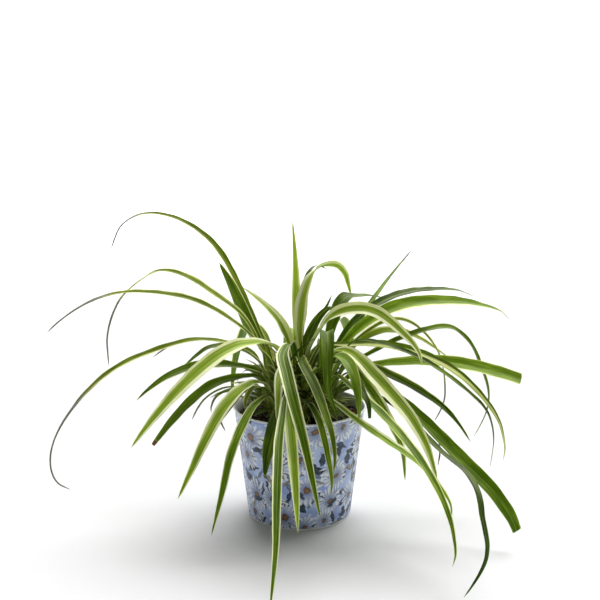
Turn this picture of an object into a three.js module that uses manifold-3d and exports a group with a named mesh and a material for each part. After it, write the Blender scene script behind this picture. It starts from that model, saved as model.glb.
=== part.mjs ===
// A potted spider plant: a round tapered pot filled with soil, six crowns that stand in the
// soil, and long arching strap leaves that grow out of the crowns.
// Millimetres, +Z up. The origin is the centre of the pot's underside, +X is to the right
// and the front of the plant looks along -Y. Azimuths count from +X, anticlockwise from above.
import * as THREE from 'three';
import { mergeVertices } from 'three/addons/utils/BufferGeometryUtils.js';
import Module from 'manifold-3d';

const wasm = await Module();
wasm.setup();

// Driving dimensions of the pot
const potHeight = 110;
const potTopRadius = 65;
const potFootRadius = 50.5;
const potWall = 1.3;
const potFloor = 2.5;
const potSides = 72;
const rimBead = 1.1;
const footPadRadius = 40;
const footGrooveDepth = 1;
const footRingWidth = 4;
const footBevelOut = 0.6;
const footBevelUp = 0.9;
const straightWallInset = 2;
const beadSteps = 5;
const beadStart = -Math.PI / 6;

// Driving dimensions of the soil
const soilHeight = 98;
const soilLump = 1.6;
const soilLumpSize = 9;
const soilSides = 48;
const soilRings = 11;
const seatGap = 0.3;

// Driving dimensions of the crowns, the tight tufts of leaf bases
const crownRadius = 8.2;
const crownTipRadius = 2.4;
const crownRibs = 5;
const crownRibDepth = 0.5;
const crownDepth = 12;
const weldDistance = 1e-4;
const crownSides = 24;
const crownRibPitch = 20;
const crownRingShares = [0.25, 0.45, 0.62, 0.78, 0.9, 0.97, 1];
const crowns = {
  left_rear: { x: -22, y: 9, top: 148 },
  left_front: { x: -20, y: -9, top: 140 },
  front: { x: 2, y: -19, top: 134 },
  right_front: { x: 20, y: -7, top: 149 },
  right_rear: { x: 21, y: 11, top: 152 },
  back: { x: -2, y: 21, top: 152 },
};

// Driving dimensions that all leaves share
const leafThickness = 0.8;
const leafStep = 13;
const leafGap = 0.75;
const rootGap = 0.6;
const rootWidthShare = 0.45;
const rootWidthLeast = 3.6;
const rootWrap = 0.6;
const lowestRoot = 6;
const highestRoot = 5;
const usualRootRise = 15;
const meanHeightOuts = [15, 30, 45];
const rootBlendLength = 28;
const fewestStretches = 5;
const curveDivisions = 400;
const usualPeak = 0.42;
const usualTip = 0.1;
const usualTaper = 1.8;
const foldAtRoot = 34;
const foldAtTip = 12;
const floorClearance = 6;

// Settings for bending the leaves clear of each other
const samplesPerStep = 3;
const sampleShares = [-1, -0.5, 0, 0.5, 1];
const encounterReach = 16;
const largestPush = 3;
const largestPotPush = 2;
const soilZoneInset = 3;
const crownZoneRise = 3;
const fullCrownClearance = 0.8;
const clearancePerStretch = 2;
const settleRounds = 260;
const settleEasing = 0.12;
const ownPushShare = 0.5;
const neighbourPushShare = 0.2;

const colours = {
  pot: '#a9b4cd',
  soil: '#3a2a1f',
  crown: '#b9c58a',
  variegated: '#8fa653',
  plain: '#4f7a3a',
  dark: '#2f5230',
  olive: '#7d8f45',
};

// Each leaf: its name, its crown, the azimuth of its plane, its greatest width, its colour,
// the midrib's points and its options. A point is [out from the crown, up from the pot's
// underside, aside], with aside positive to the left of the way out. roll turns the blade
// about its midrib, in degrees, at even steps from root to tip. tip is the width left at
// the end as a share of the greatest, and taper is small for a leaf that narrows early.
const leafTable = [];
function leaf(name, crown, azimuth, width, colour, points, options = {}) {
  leafTable.push({ name, crown, azimuth, width, colour, points, ...options });
}

// Leaves that arch to the left
leaf('left_high_arch', 'left_rear', 152, 11, 'olive',
  [[17, 171], [44, 223], [73, 263], [114, 285], [157, 288], [186, 274], [200, 249]],
  { roll: [0, -8, -24, -28, -10], taper: 1 });
leaf('left_spear', 'left_rear', 130, 17, 'dark',
  [[16, 158], [34, 172], [73, 217], [95, 238]], { roll: [0, -25, -42], taper: 1.6 });
leaf('left_second_arch', 'left_rear', 152, 10, 'olive',
  [[17, 161], [38, 192], [71, 211], [107, 227], [138, 230], [166, 216], [192, 193], [209, 155],
    [209, 122]],
  { roll: [0, -15, -15], taper: 1 });
leaf('left_third_arch', 'left_rear', 170, 10, 'olive',
  [[15, 162], [42, 187], [82, 208], [123, 215], [159, 214], [191, 204], [222, 185], [238, 171]],
  { roll: [0, -17, -17], taper: 1 });
leaf('left_long_sweep', 'left_front', 200, 11, 'dark',
  [[12, 150], [36, 172], [77, 183], [124, 175], [160, 161], [192, 134], [214, 101], [218, 76],
    [212, 60], [202, 53]],
  { roll: [0, -12, -20, -25, 10, 20], taper: 1.1 });
leaf('left_pale_thin', 'left_rear', 181, 7, 'olive',
  [[22, 157], [51, 170], [75, 173], [99, 170], [121, 156]],
  { roll: [0, -18, -18], taper: 1.2 });
leaf('left_dark_mid', 'left_rear', 203, 9, 'dark',
  [[14, 146], [37, 166], [67, 172], [86, 162], [102, 148]],
  { roll: [0, -22, -22], taper: 1.3 });
leaf('left_dark_low', 'left_front', 203, 12, 'dark',
  [[24, 146], [49, 155], [79, 159], [108, 153], [127, 143], [140, 133]], { roll: [0, -30, -30] });
leaf('left_big_variegated', 'back', 222, 17, 'variegated',
  [[29, 166], [60, 175], [87, 173], [119, 160], [153, 139], [182, 116], [195, 104]],
  { roll: [0, -4, -30, -32, -32], peak: 0.5 });
leaf('left_brown_tip', 'left_front', 208, 12, 'dark',
  [[18, 139], [41, 143], [70, 140], [95, 125], [117, 105], [129, 92]],
  { roll: [0, -24, -24], tip: 0.35, taper: 2.4 });
leaf('left_thin_a', 'left_front', 195, 5, 'dark', [[34, 139], [57, 135], [74, 123], [84, 106]],
  { roll: [0, 0, -20] });
leaf('left_back_small', 'left_rear', 160, 7, 'dark', [[20, 139], [42, 144], [52, 143]],
  { roll: [0, -17, -17], turn: -25 });
leaf('left_soil_drop', 'left_front', 214, 9, 'plain', [[12, 130], [22, 135], [31, 129], [34, 115]],
  { roll: [0, 0, -35] });
leaf('front_left_variegated', 'left_front', 230, 14, 'variegated',
  [[20, 141], [48, 141], [74, 128], [98, 104], [117, 80], [135, 58]], { roll: [0, -20, -20] });
leaf('front_left_narrow', 'left_front', 243, 11, 'variegated',
  [[20, 129], [43, 127], [62, 116], [89, 91], [106, 60], [126, 27]]);

// Leaves of the middle
leaf('centre_spike', 'back', 80, 9, 'variegated',
  [[9, 168, 2], [13, 207, 3], [17, 247, 5], [23, 286, 9]], { taper: 1, turn: 35 });
leaf('centre_pale_left', 'back', 150, 12, 'variegated',
  [[6, 160], [19, 186], [41, 204], [64, 217]], { roll: [0, -30, -30], taper: 1.3, turn: 22 });
leaf('centre_arch_right', 'back', 35, 14, 'variegated',
  [[6, 172], [10, 209], [24, 236], [39, 240], [56, 235], [65, 215], [68, 205]],
  { roll: [0, 5, 30, 5, -40, -50, -50], taper: 1.4, turn: -30 });
leaf('centre_dark_behind', 'back', 60, 6, 'dark',
  [[8, 185], [12, 226], [23, 237], [37, 240], [56, 234]]);
leaf('right_dark_rise', 'back', 15, 7, 'dark', [[4, 164], [14, 183], [28, 201], [34, 214]],
  { roll: [0, 0, 20, 35] });
leaf('right_cream_arch', 'back', 335, 16, 'variegated',
  [[8, 152], [19, 174], [35, 195], [56, 205], [81, 205], [107, 189], [125, 171], [129, 158]],
  { roll: [0, 8, 45, 45, 40] });
leaf('right_long_variegated', 'back', 350, 12, 'variegated',
  [[15, 159], [42, 166], [72, 169], [101, 165], [131, 154], [160, 136], [182, 116], [197, 95],
    [204, 68], [203, 56]], { roll: [0, 30, 30] });
leaf('front_big_variegated', 'back', 276, 14, 'variegated',
  [[18, 168, -6], [58, 169, -19], [88, 158, -18], [113, 142, -15], [141, 106, -7], [159, 67, 0],
    [163, 52, 3]]);
leaf('front_right_variegated', 'back', 288, 11, 'variegated',
  [[18, 157, -4], [39, 155, -7], [79, 142, -8], [104, 127, -8], [122, 110, -7], [132, 92, -8],
    [134, 80, -10]]);

// Leaves that arch to the right
leaf('right_kinked', 'right_rear', 50, 14, 'dark',
  [[8, 166], [14, 185], [24, 200], [31, 208], [38, 210], [55, 208], [81, 205], [113, 196]],
  { roll: [0, 40, 40, 10, 0, 0] });
leaf('right_needle', 'right_rear', 55, 9, 'dark',
  [[25, 152], [53, 167], [92, 192], [129, 214], [179, 239]], { taper: 0.9 });
leaf('right_dark_top', 'right_rear', 35, 11, 'dark',
  [[14, 153], [38, 181], [64, 196], [101, 206], [142, 207], [182, 202], [206, 193]],
  { roll: [0, 20, 22, 22] });
leaf('right_broad_green', 'right_rear', 22, 16, 'plain',
  [[14, 152], [37, 176], [70, 195], [103, 201], [144, 200], [174, 195], [207, 184], [216, 176]],
  { roll: [0, 38, 38, 20] });
leaf('right_low_arch', 'right_rear', 12, 10, 'olive',
  [[26, 156], [42, 170], [62, 178], [86, 176], [107, 166], [134, 147]], { roll: [0, 32, 32] });
leaf('right_far_kinked', 'right_rear', 6, 9, 'dark',
  [[24, 143], [44, 154], [74, 169], [104, 179], [124, 182], [134, 179], [150, 164], [161, 141],
    [170, 114], [168, 92], [157, 68]], { roll: [0, 22, 22, 40, 45] });
leaf('right_thin_fall', 'right_rear', 10, 7, 'olive',
  [[24, 160], [59, 186], [75, 190], [90, 186], [108, 171], [121, 151], [127, 125], [127, 102],
    [118, 83]],
  { roll: [0, 25, 30, 35], taper: 1.1 });
leaf('right_to_edge', 'right_rear', 355, 15, 'plain',
  [[26, 134], [44, 145], [87, 153], [131, 154], [174, 145], [196, 138]],
  { roll: [0, 30, 42, 42], tip: 0.9, taper: 2.6, peak: 0.75 });
leaf('right_dark_sweep', 'right_rear', 345, 11, 'dark',
  [[29, 153], [49, 148], [79, 137], [103, 125], [126, 109], [142, 90], [148, 81]],
  { roll: [0, 30, 32, 32] });
leaf('right_thin_under', 'right_rear', 347, 8, 'dark',
  [[32, 166], [60, 168], [86, 161], [107, 152], [136, 134], [162, 110], [169, 84], [167, 56]],
  { roll: [0, 15, 15] });
leaf('right_broad_cut', 'right_front', 333, 15, 'dark',
  [[26, 152], [56, 141], [88, 122], [125, 93], [150, 73], [171, 56], [192, 31], [197, 20]],
  { roll: [0, 28, 30, 30], tip: 0.7, taper: 3, peak: 0.75 });
leaf('right_big_variegated', 'right_front', 322, 17, 'variegated',
  [[12, 166], [35, 168], [58, 153], [80, 136], [102, 117], [119, 93], [131, 65]],
  { roll: [0, 28, 28] });
leaf('right_inner_variegated', 'right_front', 315, 12, 'variegated',
  [[26, 160], [45, 154], [70, 134], [90, 112], [103, 91], [107, 63]],
  { roll: [0, 18, 18] });
leaf('right_front_plain', 'right_front', 293, 13, 'plain',
  [[22, 163], [50, 170], [66, 164], [75, 153], [81, 136], [82, 120]], { roll: [0, 12, 12] });
leaf('right_front_drop', 'right_front', 279, 14, 'plain',
  [[10, 168, 3], [20, 188, 3], [36, 181, 1], [51, 161, -2], [63, 141, -3], [76, 122, 3]],
  { taper: 1.2 });
leaf('right_low_long', 'right_front', 302, 11, 'dark',
  [[26, 146], [50, 142], [90, 131], [127, 117], [154, 103], [179, 84], [196, 62], [203, 35], [200, 25]]);
leaf('right_dark_under', 'right_front', 336, 9, 'dark',
  [[33, 141], [60, 135], [86, 124], [111, 109], [121, 86], [120, 68]]);
leaf('right_curl', 'right_front', 327, 9, 'dark',
  [[28, 138], [58, 133, 0], [88, 121, 0], [109, 108, -2], [132, 94, -8], [167, 84, -26],
    [183, 75, -40], [194, 59, -55], [206, 41, -72], [208, 29, -91], [203, 15, -110]]);
leaf('right_dark_stub', 'right_front', 296, 8, 'dark',
  [[26, 156], [44, 163], [63, 160], [78, 153], [90, 143], [98, 134], [98, 126]],
  { tip: 0.4, taper: 2.4 });

// Leaves that hang toward the front
leaf('front_long_drop', 'front', 263, 10, 'variegated',
  [[14, 127, -5], [42, 131, -9], [73, 123, -8], [101, 110, -7], [149, 79, -2], [185, 52, 2],
    [221, 23, 3], [228, 18, 3]]);
leaf('front_dark_short', 'front', 250, 16, 'dark',
  [[12, 124, -2], [28, 127, -6], [45, 118, -6], [71, 93, -5], [84, 71, -5]],
  { taper: 1.5, peak: 0.66 });
leaf('front_pale_short', 'left_front', 270, 10, 'variegated',
  [[8, 143, 1], [18, 151, 3], [32, 146, 1], [46, 136, 1], [62, 113, 0]]);
leaf('front_low_straight', 'front', 315, 10, 'variegated',
  [[15, 129], [31, 129], [71, 115], [105, 105], [139, 95], [161, 83], [178, 66], [179, 52]],
  { roll: [0, 10, 10] });
leaf('front_right_inner', 'front', 290, 8, 'variegated',
  [[12, 121], [28, 120], [44, 113], [64, 91], [77, 67], [75, 52]]);
leaf('front_centre_light', 'front', 268, 12, 'variegated',
  [[14, 133, -4], [37, 131, -12], [59, 121, -9], [81, 108, -6], [119, 76, -1], [147, 50, 2]]);

// Leaves that fall behind the pot
leaf('back_left_fall', 'left_rear', 112, 13, 'variegated',
  [[20, 156], [50, 171], [84, 168], [116, 142], [138, 104], [146, 66]], { taper: 1.6 });
leaf('back_middle_fall', 'back', 96, 14, 'plain',
  [[16, 160], [42, 171], [74, 160], [102, 130], [118, 92], [124, 56]], { taper: 1.6 });
leaf('back_right_fall', 'right_rear', 74, 13, 'variegated',
  [[18, 158], [46, 176], [82, 176], [118, 152], [142, 114], [152, 74]], { taper: 1.6 });

// A repeatable number from 0 to 1 for a pair of whole numbers
function hash(i, j) {
  const value = Math.sin(i * 127.1 + j * 311.7) * 43758.5453;
  return value - Math.floor(value);
}

function smooth(t) {
  const c = Math.min(Math.max(t, 0), 1);
  return c * c * (3 - 2 * c);
}

// Height of the lumps on the soil at a place, from -1 to 1
function lump(x, y) {
  const u = x / soilLumpSize;
  const v = y / soilLumpSize;
  const i = Math.floor(u);
  const j = Math.floor(v);
  const a = smooth(u - i);
  const b = smooth(v - j);
  const near = hash(i, j) * (1 - a) + hash(i + 1, j) * a;
  const far = hash(i, j + 1) * (1 - a) + hash(i + 1, j + 1) * a;
  return 2 * (near * (1 - b) + far * b) - 1;
}

function toSolid(geometry) {
  const bare = geometry.clone();
  bare.deleteAttribute('normal');
  bare.deleteAttribute('uv');
  const merged = mergeVertices(bare, weldDistance);
  return new wasm.Manifold(new wasm.Mesh({
    numProp: 3,
    vertProperties: new Float32Array(merged.attributes.position.array),
    triVerts: new Uint32Array(merged.index.array),
  }));
}

function toGeometry(solid) {
  const { vertProperties, triVerts } = solid.getMesh();
  return closedGeometry(Array.from(vertProperties), Array.from(triVerts));
}

function closedGeometry(positions, triangles) {
  const geometry = new THREE.BufferGeometry();
  geometry.setAttribute('position', new THREE.Float32BufferAttribute(positions, 3));
  geometry.setIndex(triangles);
  geometry.computeVertexNormals();
  return geometry;
}

function material(colour, roughness) {
  return new THREE.MeshStandardMaterial({ color: colours[colour], roughness, metalness: 0 });
}

function addMesh(group, name, geometry, surface) {
  const mesh = new THREE.Mesh(geometry, surface);
  mesh.name = name;
  group.add(mesh);
}

// The lathe turns about Y, so it is laid over onto Z
function turned(profile, sides) {
  const points = profile.map(([radius, height]) => new THREE.Vector2(radius, height));
  return new THREE.LatheGeometry(points, sides).rotateX(Math.PI / 2);
}

function potOuterRadius(height) {
  return potFootRadius + (potTopRadius - rimBead - potFootRadius) * (height / potHeight);
}

// The pot stands on a flat pad and a foot ring, and its thin wall ends in a small bead
function potGeometry() {
  const grooveOuter = potFootRadius - footRingWidth;
  const rimCentre = potHeight - rimBead;
  const bead = [];
  for (let step = 0; step <= beadSteps; step += 1) {
    const angle = beadStart + Math.PI * (step / beadSteps);
    bead.push([potTopRadius - rimBead + rimBead * Math.cos(angle),
      rimCentre + rimBead * Math.sin(angle)]);
  }
  return turned([
    [0, 0],
    [footPadRadius, 0],
    [footPadRadius + footGrooveDepth, footGrooveDepth],
    [grooveOuter - footGrooveDepth, footGrooveDepth],
    [grooveOuter, 0],
    [potFootRadius, 0],
    [potFootRadius + footBevelOut, footBevelUp],
    [potOuterRadius(straightWallInset), straightWallInset],
    [potOuterRadius(rimCentre - straightWallInset), rimCentre - straightWallInset],
    ...bead,
    [potOuterRadius(potFloor) - potWall, potFloor],
    [0, potFloor],
  ], potSides);
}

// The soil fills the pot to below the rim, with a lumpy top and a plain hole for each crown
function soilGeometry() {
  const facetShare = Math.cos(Math.PI / potSides);
  const wallAt = (height) => (potOuterRadius(height) - potWall) * facetShare - seatGap;
  const bottom = potFloor + seatGap;
  const topRadius = wallAt(soilHeight);
  const positions = [0, 0, bottom];
  const triangles = [];
  const ring = (radius, heightAt) => {
    const first = positions.length / 3;
    for (let side = 0; side < soilSides; side += 1) {
      const angle = (side / soilSides) * 2 * Math.PI;
      const x = radius * Math.cos(angle);
      const y = radius * Math.sin(angle);
      positions.push(x, y, heightAt(x, y));
    }
    return first;
  };
  const surface = (x, y) => soilHeight + soilLump * lump(x, y);
  const join = (low, high) => {
    for (let side = 0; side < soilSides; side += 1) {
      const next = (side + 1) % soilSides;
      triangles.push(low + side, low + next, high + next);
      triangles.push(low + side, high + next, high + side);
    }
  };
  let previous = ring(wallAt(bottom), () => bottom);
  for (let side = 0; side < soilSides; side += 1) {
    triangles.push(0, previous + ((side + 1) % soilSides), previous + side);
  }
  for (let step = soilRings; step > 0; step -= 1) {
    const current = ring((topRadius * step) / soilRings, surface);
    join(previous, current);
    previous = current;
  }
  const middle = positions.length / 3;
  positions.push(0, 0, surface(0, 0));
  for (let side = 0; side < soilSides; side += 1) {
    triangles.push(previous + side, previous + ((side + 1) % soilSides), middle);
  }
  let solid = toSolid(closedGeometry(positions, triangles));
  for (const crown of Object.values(crowns)) {
    const hole = new THREE.CylinderGeometry(crownRadius + seatGap, crownRadius + seatGap,
      2 * crownDepth, crownSides).rotateX(Math.PI / 2).translate(crown.x, crown.y, soilHeight);
    solid = solid.subtract(toSolid(hole));
  }
  return toGeometry(solid);
}

// A crown narrows to its tip and is ribbed by the bases of its leaves
function crownRadiusAt(crown, angle, height) {
  const rise = Math.max(height - soilHeight, 0) / (crown.top - soilHeight);
  const round = crownTipRadius + (crownRadius - crownTipRadius) * Math.sqrt(Math.max(1 - rise, 0));
  const rib = 0.5 - 0.5 * Math.cos(crownRibs * angle + height / crownRibPitch + crown.x);
  return round - crownRibDepth * rib;
}

function crownGeometry(crown) {
  const facetShare = Math.cos(Math.PI / crownSides);
  const bottom = soilHeight - crownDepth + seatGap;
  const heights = [bottom, soilHeight, ...crownRingShares
    .map((share) => soilHeight + share * (crown.top - soilHeight))];
  const positions = [];
  const triangles = [];
  for (const height of heights) {
    for (let side = 0; side < crownSides; side += 1) {
      const angle = (side / crownSides) * 2 * Math.PI;
      const radius = crownRadiusAt(crown, angle, height) * (height > bottom ? 1 : facetShare);
      positions.push(crown.x + radius * Math.cos(angle), crown.y + radius * Math.sin(angle), height);
    }
  }
  const last = (heights.length - 1) * crownSides;
  const foot = positions.length / 3;
  positions.push(crown.x, crown.y, bottom);
  const tip = foot + 1;
  positions.push(crown.x, crown.y, crown.top + crownTipRadius / 2);
  for (let side = 0; side < crownSides; side += 1) {
    const next = (side + 1) % crownSides;
    for (let low = 0; low < last; low += crownSides) {
      const high = low + crownSides;
      triangles.push(low + side, low + next, high + next);
      triangles.push(low + side, high + next, high + side);
    }
    triangles.push(foot, next, side);
    triangles.push(tip, last + side, last + next);
  }
  return closedGeometry(positions, triangles);
}

// Share of the greatest width at a share s of the length
function widthShare(one, s) {
  const peak = one.peak ?? usualPeak;
  const tip = one.tip ?? usualTip;
  const root = Math.max(rootWidthShare, rootWidthLeast / one.width);
  if (s < peak) {
    return root + (1 - root) * smooth(s / peak);
  }
  return tip + (1 - tip) * (1 - ((s - peak) / (1 - peak)) ** (one.taper ?? usualTaper));
}

function rollAt(one, s) {
  const knots = one.roll ?? [0, 0];
  const place = s * (knots.length - 1);
  const i = Math.min(Math.floor(place), knots.length - 2);
  const t = smooth(place - i);
  return THREE.MathUtils.degToRad(knots[i] * (1 - t) + knots[i + 1] * t);
}

function heightNear(one, out) {
  let [lastOut, lastUp] = [crownRadius, soilHeight + usualRootRise];
  for (const [pointOut, pointUp] of one.points) {
    if (pointOut > out) {
      return lastUp + ((pointUp - lastUp) * (out - lastOut)) / (pointOut - lastOut);
    }
    [lastOut, lastUp] = [pointOut, pointUp];
  }
  return lastUp;
}

function meanHeight(one) {
  const sum = meanHeightOuts.reduce((total, out) => total + heightNear(one, out), 0);
  return sum / meanHeightOuts.length;
}

// Roots climb the crown in the order in which their leaves lie, the highest leaf at the
// top, so that each leaf leaves the crown outside the roots above its own
function placeRoots(leaves) {
  for (const [key, crown] of Object.entries(crowns)) {
    const own = leaves.filter((one) => one.crown === key);
    own.sort((a, b) => meanHeight(a) - meanHeight(b));
    const low = soilHeight + lowestRoot;
    const high = crown.top - highestRoot;
    own.forEach((one, rank) => {
      one.rootHeight = low + ((high - low) * rank) / (own.length - 1);
      one.rootAngle = one.angle + THREE.MathUtils.degToRad(one.turn ?? 0);
      const radius = crownRadiusAt(crown, one.rootAngle, one.rootHeight);
      one.rootHalf = Math.min((one.width * widthShare(one, 0)) / 2, rootWrap * radius);
    });
  }
}

// Stations at even steps along the midrib, from the root on the crown to the tip
function placeStations(one) {
  const crown = crowns[one.crown];
  const radius = crownRadiusAt(crown, one.rootAngle, one.rootHeight) + rootGap + leafThickness / 2;
  const root = new THREE.Vector3(crown.x + radius * Math.cos(one.rootAngle),
    crown.y + radius * Math.sin(one.rootAngle), one.rootHeight);
  const away = new THREE.Vector3(Math.cos(one.angle), Math.sin(one.angle), 0);
  const left = new THREE.Vector3(-away.y, away.x, 0);
  const points = one.points.map(([out, up, aside = 0]) => new THREE.Vector3(crown.x, crown.y, up)
    .addScaledVector(away, out).addScaledVector(left, aside));
  const curve = new THREE.CatmullRomCurve3([root, ...points], false, 'centripetal');
  curve.arcLengthDivisions = curveDivisions;
  one.length = curve.getLength();
  one.count = Math.max(fewestStretches, Math.round(one.length / leafStep));
  one.stations = curve.getSpacedPoints(one.count);
  one.shifts = one.stations.map(() => new THREE.Vector3());
  one.left = left;
  one.rootRadius = radius;
  one.rootSide = new THREE.Vector3(-Math.sin(one.rootAngle), Math.cos(one.rootAngle), 0);
}

// At each station: the way along the leaf, the way across it, its upper side and its half
// width and fold. Across is carried along the midrib without turning, and then rolled.
function frameLeaf(one) {
  const last = one.count;
  const places = one.stations.map((station, i) => station.clone().add(one.shifts[i]));
  const along = places.map((place, i) => places[Math.min(i + 1, last)].clone()
    .sub(places[Math.max(i - 1, 0)]).normalize());
  let side = one.left;
  one.rings = places.map((centre, i) => {
    const s = i / last;
    side = side.clone().addScaledVector(along[i], -side.dot(along[i])).normalize();
    const blend = smooth((s * one.length) / rootBlendLength);
    const across = one.rootSide.clone().lerp(side, blend);
    across.addScaledVector(along[i], -across.dot(along[i])).normalize();
    across.applyAxisAngle(along[i], rollAt(one, s) * blend);
    const upper = along[i].clone().cross(across);
    const half = i === 0 ? one.rootHalf : (one.width * widthShare(one, s)) / 2;
    const wrap = one.rootHalf / (2 * one.rootRadius);
    const crease = THREE.MathUtils.degToRad(foldAtRoot * (1 - s) + foldAtTip * s);
    const fold = crease * blend + wrap * (1 - blend);
    return { centre, along: along[i], across, upper, half, fold };
  });
}

function ringPoint(ring, share) {
  const reach = ring.half * share;
  return ring.centre.clone().addScaledVector(ring.across, reach * Math.cos(ring.fold))
    .addScaledVector(ring.upper, Math.abs(reach) * Math.sin(ring.fold));
}

// Points all over a blade, with the stretch between stations that each lies on
function sampleLeaf(one) {
  one.samples = [];
  one.box = new THREE.Box3();
  for (let i = 0; i < one.count; i += 1) {
    const low = sampleShares.map((share) => ringPoint(one.rings[i], share));
    const high = sampleShares.map((share) => ringPoint(one.rings[i + 1], share));
    for (let k = 0; k < samplesPerStep; k += 1) {
      const t = k / samplesPerStep;
      for (let c = 0; c < sampleShares.length; c += 1) {
        const point = low[c].clone().lerp(high[c], t);
        one.samples.push({ point, step: i, t, row: i * samplesPerStep + k });
        one.box.expandByPoint(point);
      }
    }
  }
  one.box.expandByScalar(leafThickness + leafGap);
}

// Where a point lies on a blade: the stretch, the share along it, the way across and the
// height over the blade's folded surface
function placeOn(one, point, reach) {
  let best = null;
  for (let i = 0; i < one.count; i += 1) {
    const a = one.rings[i];
    const b = one.rings[i + 1];
    const dx = b.centre.x - a.centre.x;
    const dy = b.centre.y - a.centre.y;
    const dz = b.centre.z - a.centre.z;
    const px = point.x - a.centre.x;
    const py = point.y - a.centre.y;
    const pz = point.z - a.centre.z;
    const t = Math.min(Math.max((px * dx + py * dy + pz * dz) / (dx * dx + dy * dy + dz * dz), 0), 1);
    const ex = px - t * dx;
    const ey = py - t * dy;
    const ez = pz - t * dz;
    const distance = ex * ex + ey * ey + ez * ez;
    if (distance < reach * reach && (!best || distance < best.distance)) {
      best = { distance, i, t, ex, ey, ez };
    }
  }
  if (!best) {
    return null;
  }
  const a = one.rings[best.i];
  const b = one.rings[best.i + 1];
  const { t } = best;
  const across = a.across.clone().lerp(b.across, t).normalize();
  const upper = a.upper.clone().lerp(b.upper, t).normalize();
  const offset = new THREE.Vector3(best.ex, best.ey, best.ez);
  const u = offset.dot(across);
  const half = a.half * (1 - t) + b.half * t;
  const fold = a.fold * (1 - t) + b.fold * t;
  const height = offset.dot(upper) - Math.abs(u) * Math.tan(fold);
  return { step: best.i, t, beyond: Math.abs(u) - half * Math.cos(fold), height, upper };
}

// The stretches where one leaf's points lie over or under another's blade
function encounters(base, other) {
  const runs = [];
  let current = null;
  for (const sample of other.samples) {
    if (!base.box.containsPoint(sample.point)) {
      continue;
    }
    const place = placeOn(base, sample.point, encounterReach);
    if (!place || place.beyond > leafGap) {
      continue;
    }
    if (!current || sample.row > current.row + 2) {
      current = { hits: [], sum: 0, size: 0 };
      runs.push(current);
    }
    current.row = sample.row;
    current.hits.push({ sample, place });
    current.sum += place.height;
    current.size += Math.abs(place.height);
  }
  return runs;
}

function steadiness(runs) {
  const sum = runs.reduce((total, run) => total + Math.abs(run.sum), 0);
  const size = runs.reduce((total, run) => total + run.size, 0);
  return size > 0 ? sum / size : 0;
}

function addPush(pushes, step, t, push) {
  pushes[step].add(push, 1 - t);
  pushes[step + 1].add(push, t);
}

class Push {
  constructor() {
    this.total = new THREE.Vector3();
    this.weight = 0;
  }

  add(push, weight) {
    this.total.addScaledVector(push, weight);
    this.weight += weight;
  }

  mean() {
    return this.weight > 0 ? this.total.clone().divideScalar(this.weight) : new THREE.Vector3();
  }
}

// Two leaves that come too close are pushed apart across the blade that tells best which
// of them is the upper one
function partPair(one, other, need) {
  let worst = 0;
  const there = encounters(one, other);
  const back = encounters(other, one);
  if (there.length === 0 && back.length === 0) {
    return worst;
  }
  const useThere = steadiness(there) >= steadiness(back);
  const [base, guest, runs] = useThere ? [one, other, there] : [other, one, back];
  for (const run of runs) {
    const side = Math.sign(run.sum) || Math.sign(guest.rootHeight - base.rootHeight);
    for (const { sample, place } of run.hits) {
      const lack = need - side * place.height;
      if (lack <= 0) {
        continue;
      }
      const push = place.upper.clone().multiplyScalar((side * Math.min(lack, largestPush)) / 2);
      addPush(guest.pushes, sample.step, sample.t, push);
      push.negate();
      addPush(base.pushes, place.step, place.t, push);
      worst = Math.max(worst, lack);
    }
  }
  return worst;
}

// Leaves keep clear of the pot, the soil, the crowns and the surface that the pot stands on
function keepOffPot(one) {
  const clear = leafGap + leafThickness;
  const potTop = potHeight + clear;
  const insideLimit = potTopRadius - potWall - rimBead - soilZoneInset;
  for (const { point, step, t } of one.samples) {
    const push = new THREE.Vector3();
    const radius = Math.hypot(point.x, point.y);
    if (point.z < potTop && radius > insideLimit) {
      const lack = potOuterRadius(point.z) + rimBead + clear - radius;
      if (lack > 0) {
        push.set(point.x / radius, point.y / radius, 0);
        push.multiplyScalar(Math.min(lack, largestPotPush));
        push.z = Math.min(potTop - point.z, largestPotPush);
      }
    } else if (point.z < soilHeight + soilLump + clear && radius <= insideLimit) {
      push.z = soilHeight + soilLump + clear - point.z;
    }
    if (point.z < floorClearance) {
      push.z += floorClearance - point.z;
    }
    for (const [key, crown] of Object.entries(crowns)) {
      const dx = point.x - crown.x;
      const dy = point.y - crown.y;
      const away = Math.hypot(dx, dy);
      const spare = key === one.crown ? Math.min(clearancePerStretch * (step + t), fullCrownClearance)
        : leafGap;
      if (point.z < crown.top + crownZoneRise && away < crownRadius + clear + spare) {
        const lack = crownRadiusAt(crown, Math.atan2(dy, dx), point.z) + rootGap + leafThickness / 2
          + spare - away;
        if (lack > 0) {
          push.x += (dx / away) * Math.min(lack, largestPotPush);
          push.y += (dy / away) * Math.min(lack, largestPotPush);
        }
      }
    }
    if (push.lengthSq() > 0) {
      addPush(one.pushes, step, t, push);
    }
  }
}

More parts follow.
